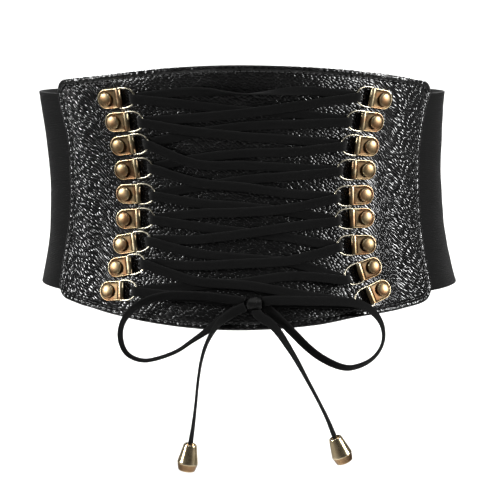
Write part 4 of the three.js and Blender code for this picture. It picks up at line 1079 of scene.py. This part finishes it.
def hook_plate_mesh():
    """One hook's plate in its own axes (mm), with 'tone': hollows dark, worn edges bright, and a painted highlight
    along one side of the barrel.
    """
    verts, faces, tone = [], [], []

    def add(part_verts, part_faces, part_tone):
        base = len(verts)
        verts.extend([tuple(v) for v in part_verts])
        faces.extend([tuple(i + base for i in f) for f in part_faces])
        tone.extend(part_tone)

    # plate: stacked outlines from the back up over the raised rim and down to the field
    levels = [(0.35, 0.0, 0.3), (0.08, 0.12, 0.4), (0.0, 0.45, 0.6), (0.0, 1.18, 0.8), (0.06, 1.42, 0.95), (0.20, 1.56, 1.0),
              (0.42, 1.58, 0.95), (0.62, 1.48, 0.55), (0.80, 1.26, 0.18), (1.05, 1.14, 0.05), (1.8, 1.11, 0.08), (2.6, 1.11, 0.12)]
    loops, pv, pt = [], [], []
    for inset, z_, t in levels:
        loop = stadium(inset, z_)
        loops.append(range(len(pv), len(pv) + len(loop)))
        pv += loop
        pt += [t] * len(loop)
    m = len(loops[0])
    pf = []
    for a, b in zip(loops, loops[1:]):
        for i in range(m):
            j = (i + 1) % m
            pf.append((a[i], a[j], b[j], b[i]))
    pf.append(tuple(reversed(list(loops[0]))))
    pf.append(tuple(loops[-1]))
    add(pv, pf, pt)

    # neck: the sheet rising from the field over the barrel, with a pressed ridge
    profile = [(5.9, 0.5, 0.1), (5.9, 1.08, 0.1), (6.25, 1.12, 0.12), (6.45, 1.36, 0.7), (6.65, 1.46, 0.95), (6.85, 1.36, 0.6),
               (7.0, 1.18, 0.1), (7.3, 1.16, 0.12), (7.5, 1.34, 0.55), (7.72, 1.44, 0.8), (7.95, 1.42, 0.4), (8.15, 1.62, 0.2),
               (8.4, 2.15, 0.3), (8.6, 2.8, 0.6), (8.88, 3.38, 0.85), (9.25, 3.78, 1.0), (9.7, 3.9, 0.9), (9.7, 2.4, 0.2), (8.6, 0.5, 0.2)]
    ys = [(-5.2, 0.12), (-5.0, 0.0), (-4.3, 0.0), (0, 0.0), (4.3, 0.0), (5.0, 0.0), (5.2, 0.12)]
    cx, cz_ = 8.2, 1.8
    nvp = len(profile)
    nvv, nt = [], []
    for y, shrink in ys:
        for x, z_, t in profile:
            nvv.append((x + (cx - x) * shrink * 0.35, y, z_ + (cz_ - z_) * shrink * 0.35))
            nt.append(min(1.0, t + (0.25 if abs(y) > 4.5 and t > 0.4 else 0)))
    nf = []
    for k in range(len(ys) - 1):
        for i in range(nvp):
            j = (i + 1) % nvp
            nf.append((k * nvp + i, k * nvp + j, (k + 1) * nvp + j, (k + 1) * nvp + i))
    nf.append(tuple(range(nvp)))
    nf.append(tuple(reversed(range((len(ys) - 1) * nvp, len(ys) * nvp))))
    add(nvv, nf, nt)

    # barrel with its bore
    seg = 32
    br, bore, half_w = FOLD_RADIUS, 0.9, FOLD_WIDTH / 2
    section = [(bore, -half_w, 0.2), (br - 0.25, -half_w, 0.8), (br - 0.05, -half_w + 0.1, 1.0), (br, -half_w + 0.35, 0.9), (br, -1.5, 0.66),
               (br, 1.5, 0.66), (br, half_w - 0.35, 0.9), (br - 0.05, half_w - 0.1, 1.0), (br - 0.25, half_w, 0.8), (bore, half_w, 0.2)]
    bv, bt, bf = [], [], []
    for i in range(seg):
        a = 2 * math.pi * i / seg
        # painted highlight: the barrel's tone is raised along the side facing towards the ring and outwards
        painted_highlight = 0.5 + 0.5 * math.cos(a - math.radians(60))
        for r, y, t in section:
            bv.append((FOLD_REACH + r * math.cos(a), y, FOLD_HEIGHT + r * math.sin(a)))
            bt.append(max(0.12, min(1.0, t * (0.45 + 0.6 * painted_highlight))))
    k = len(section)
    for i in range(seg):
        i2 = (i + 1) % seg
        for j in range(k):
            j2 = (j + 1) % k
            bf.append((i * k + j, i * k + j2, i2 * k + j2, i2 * k + j))
    add(bv, bf, bt)

    # rivet: a skirt, a thin step, and a dome a little flat on top
    dome = [(0.0, 0.6, 0.3), (4.15, 0.6, 0.0), (4.15, 1.2, 0.0), (4.1, 1.45, 0.1), (4.0, 1.62, 0.3), (3.98, 1.9, 0.5), (3.97, 2.2, 0.8),
            (3.90, 2.44, 1.0), (3.76, 2.66, 0.95), (3.56, 2.84, 0.75), (3.3, 2.99, 0.6), (2.9, 3.15, 0.55), (2.4, 3.29, 0.52), (1.8, 3.41, 0.5),
            (1.2, 3.49, 0.5), (0.6, 3.54, 0.5), (0.0, 3.55, 0.5)]
    lv, lf, lt = lathe([(r, z_) for r, z_, _ in dome], 40, [t for _, _, t in dome])
    add(lv.tolist(), lf, lt.tolist())
    return np.array(verts), faces, np.array(tone)


def ring_mesh():
    half = [(0, 0), (0, 2.7), (0, 5.4), (0.35, 5.72), (1.2, 5.78)]
    for turn in (90, 70, 50, 32, 16):
        c_, s_ = max(0.0, math.cos(math.radians(turn))), math.sin(math.radians(turn))
        half.append((RING_CENTRE + (RING_REACH - RING_CENTRE) * c_ ** (2 / RING_POWER), RING_HALF_HEIGHT * s_ ** (2 / RING_POWER)))
    outline = half + [(RING_REACH, 0)] + [(x, -y) for x, y in half[:0:-1]]
    pts = [(FOLD_REACH + x, y, FOLD_HEIGHT) for x, y in outline]
    pts = np.array(pts)
    n = len(pts)
    # closed centripetal curve
    out = []
    for i in range(n):
        p0, p1, p2, p3 = pts[(i - 1) % n], pts[i], pts[(i + 1) % n], pts[(i + 2) % n]
        t0 = 0.0
        t1 = t0 + np.linalg.norm(p1 - p0) ** 0.5
        t2 = t1 + np.linalg.norm(p2 - p1) ** 0.5
        t3 = t2 + np.linalg.norm(p3 - p2) ** 0.5
        for t in np.linspace(t1, t2, 7)[:-1]:
            a1 = (t1 - t) / (t1 - t0) * p0 + (t - t0) / (t1 - t0) * p1
            a2 = (t2 - t) / (t2 - t1) * p1 + (t - t1) / (t2 - t1) * p2
            a3 = (t3 - t) / (t3 - t2) * p2 + (t - t2) / (t3 - t2) * p3
            b1 = (t2 - t) / (t2 - t0) * a1 + (t - t0) / (t2 - t0) * a2
            b2 = (t3 - t) / (t3 - t1) * a2 + (t - t1) / (t3 - t1) * a3
            out.append((t2 - t) / (t2 - t1) * b1 + (t - t1) / (t2 - t1) * b2)
    c = np.array(out)
    t = unit(np.roll(c, -1, 0) - np.roll(c, 1, 0))
    up_v = np.array([0, 0, 1.0])
    side = unit(np.cross(t, up_v))
    seg = 12
    verts = []
    for i in range(len(c)):
        for j in range(seg):
            a = 2 * math.pi * j / seg
            verts.append(c[i] + (side[i] * math.cos(a) + up_v * math.sin(a)) * WIRE_RADIUS)
    return np.array(verts), [tuple(f) for f in grid_faces(len(c), seg, closed_u=True, closed_v=True)]


plate_v, plate_f, plate_t = hook_plate_mesh()
ring_v, ring_f = ring_mesh()
for side_name in ("l", "r"):
    for i in range(9):
        axes, place = HOOKS[side_name][i]
        v = plate_v @ axes.T + place
        hook = new_mesh(f"hook_{side_name}{i + 1}", v, plate_f)
        orient_out(hook)
        r_ = np.random.default_rng(100 + i + (20 if side_name == "r" else 0))
        low = np.clip(-(plate_v @ axes.T)[:, 2] / 5.0, 0, 1)      # painted shade: the lower side of each plate is drawn darker, as under light from above
        add_value(hook, np.clip(plate_t * (1 - 0.45 * low) + r_.uniform(-0.06, 0.06), 0, 1), "tone")
        hook.data.materials.append(PLATE_BRASS)
        hook.data.set_sharp_from_angle(angle=math.radians(50))
        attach(hook, "root")
        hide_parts(f"hook_plate_{side_name}{i + 1}")
        v = ring_v @ axes.T + place
        wire = new_mesh(f"d_ring_{side_name}{i + 1}", v, ring_f)
        orient_out(wire)
        add_value(wire, np.full(len(v), 0.72), "tone")
        wire.data.materials.append(RING_BRASS)
        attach(wire, "root")
        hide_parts(f"hook_ring_{side_name}{i + 1}")

# ------------------------------------------------------------------ floor, backdrop, light
FLOOR_Z = -0.42
fl = []
ff = []
prof = [(-3.0, FLOOR_Z), (1.2, FLOOR_Z)]
for i in range(1, 13):
    a = math.radians(90 * i / 12)
    prof.append((1.2 + 0.8 * math.sin(a), FLOOR_Z + 0.8 * (1 - math.cos(a))))
prof.append((2.0, 3.0))
for x in (-4.0, 4.0):
    for y, z_ in prof:
        fl.append((x * 1000, y * 1000, z_ * 1000))
k = len(prof)
for i in range(k - 1):
    ff.append((i, k + i, k + i + 1, i + 1))
floor = new_mesh("floor", fl, ff)
floor.data.materials.append(plain_material("floor_paper", (0.93, 0.93, 0.925), 0.9))


def area_light(name, place, target, size, power, spread=180, colour=(1, 1, 1)):
    data = bpy.data.lights.new(name, "AREA")
    data.shape = "RECTANGLE"
    data.size, data.size_y = size
    data.energy = power
    data.spread = math.radians(spread)
    data.color = colour
    obj = bpy.data.objects.new(name, data)
    SCENE.collection.objects.link(obj)
    obj.location = place
    obj.rotation_euler = (Vector(target) - Vector(place)).to_track_quat("-Z", "Y").to_euler()
    return obj


# side boxes that the flanks mirror, a smaller key from the upper left, two for the back, and two close to the sweep
area_light("left box", (-1.20, -0.45, 0.35), (0, -0.05, 0), (0.17, 0.50), 1.75, 50)
area_light("right box", (1.18, -0.45, 0.30), (0, -0.05, 0), (0.17, 0.50), 1.85, 50)
area_light("key", (-0.50, -1.15, 0.95), (0, -0.05, 0), (0.16, 0.16), 0.10, 40)
area_light("top", (0.10, -0.45, 1.25), (0, -0.05, 0), (0.60, 0.15), 0.20, 50)
area_light("back left", (-0.45, 1.10, 0.75), (0, 0.10, 0), (0.4, 0.3), 1.3, 40)
area_light("back right", (0.45, 1.10, 0.75), (0, 0.10, 0), (0.4, 0.3), 1.3, 40)
area_light("sweep light", (0.0, 1.15, 0.95), (0, 1.95, -0.15), (1.3, 0.35), 12, 120)
area_light("floor light", (0.0, 1.35, 0.45), (0, 1.30, -0.42), (1.6, 0.30), 4, 110)
world = bpy.data.worlds.new("studio")
SCENE.world = world
world.use_nodes = True
world.node_tree.nodes["Background"].inputs[0].default_value = (1, 1, 1, 1)
world.node_tree.nodes["Background"].inputs[1].default_value = 0.06
SCENE.view_settings.view_transform = "Standard"
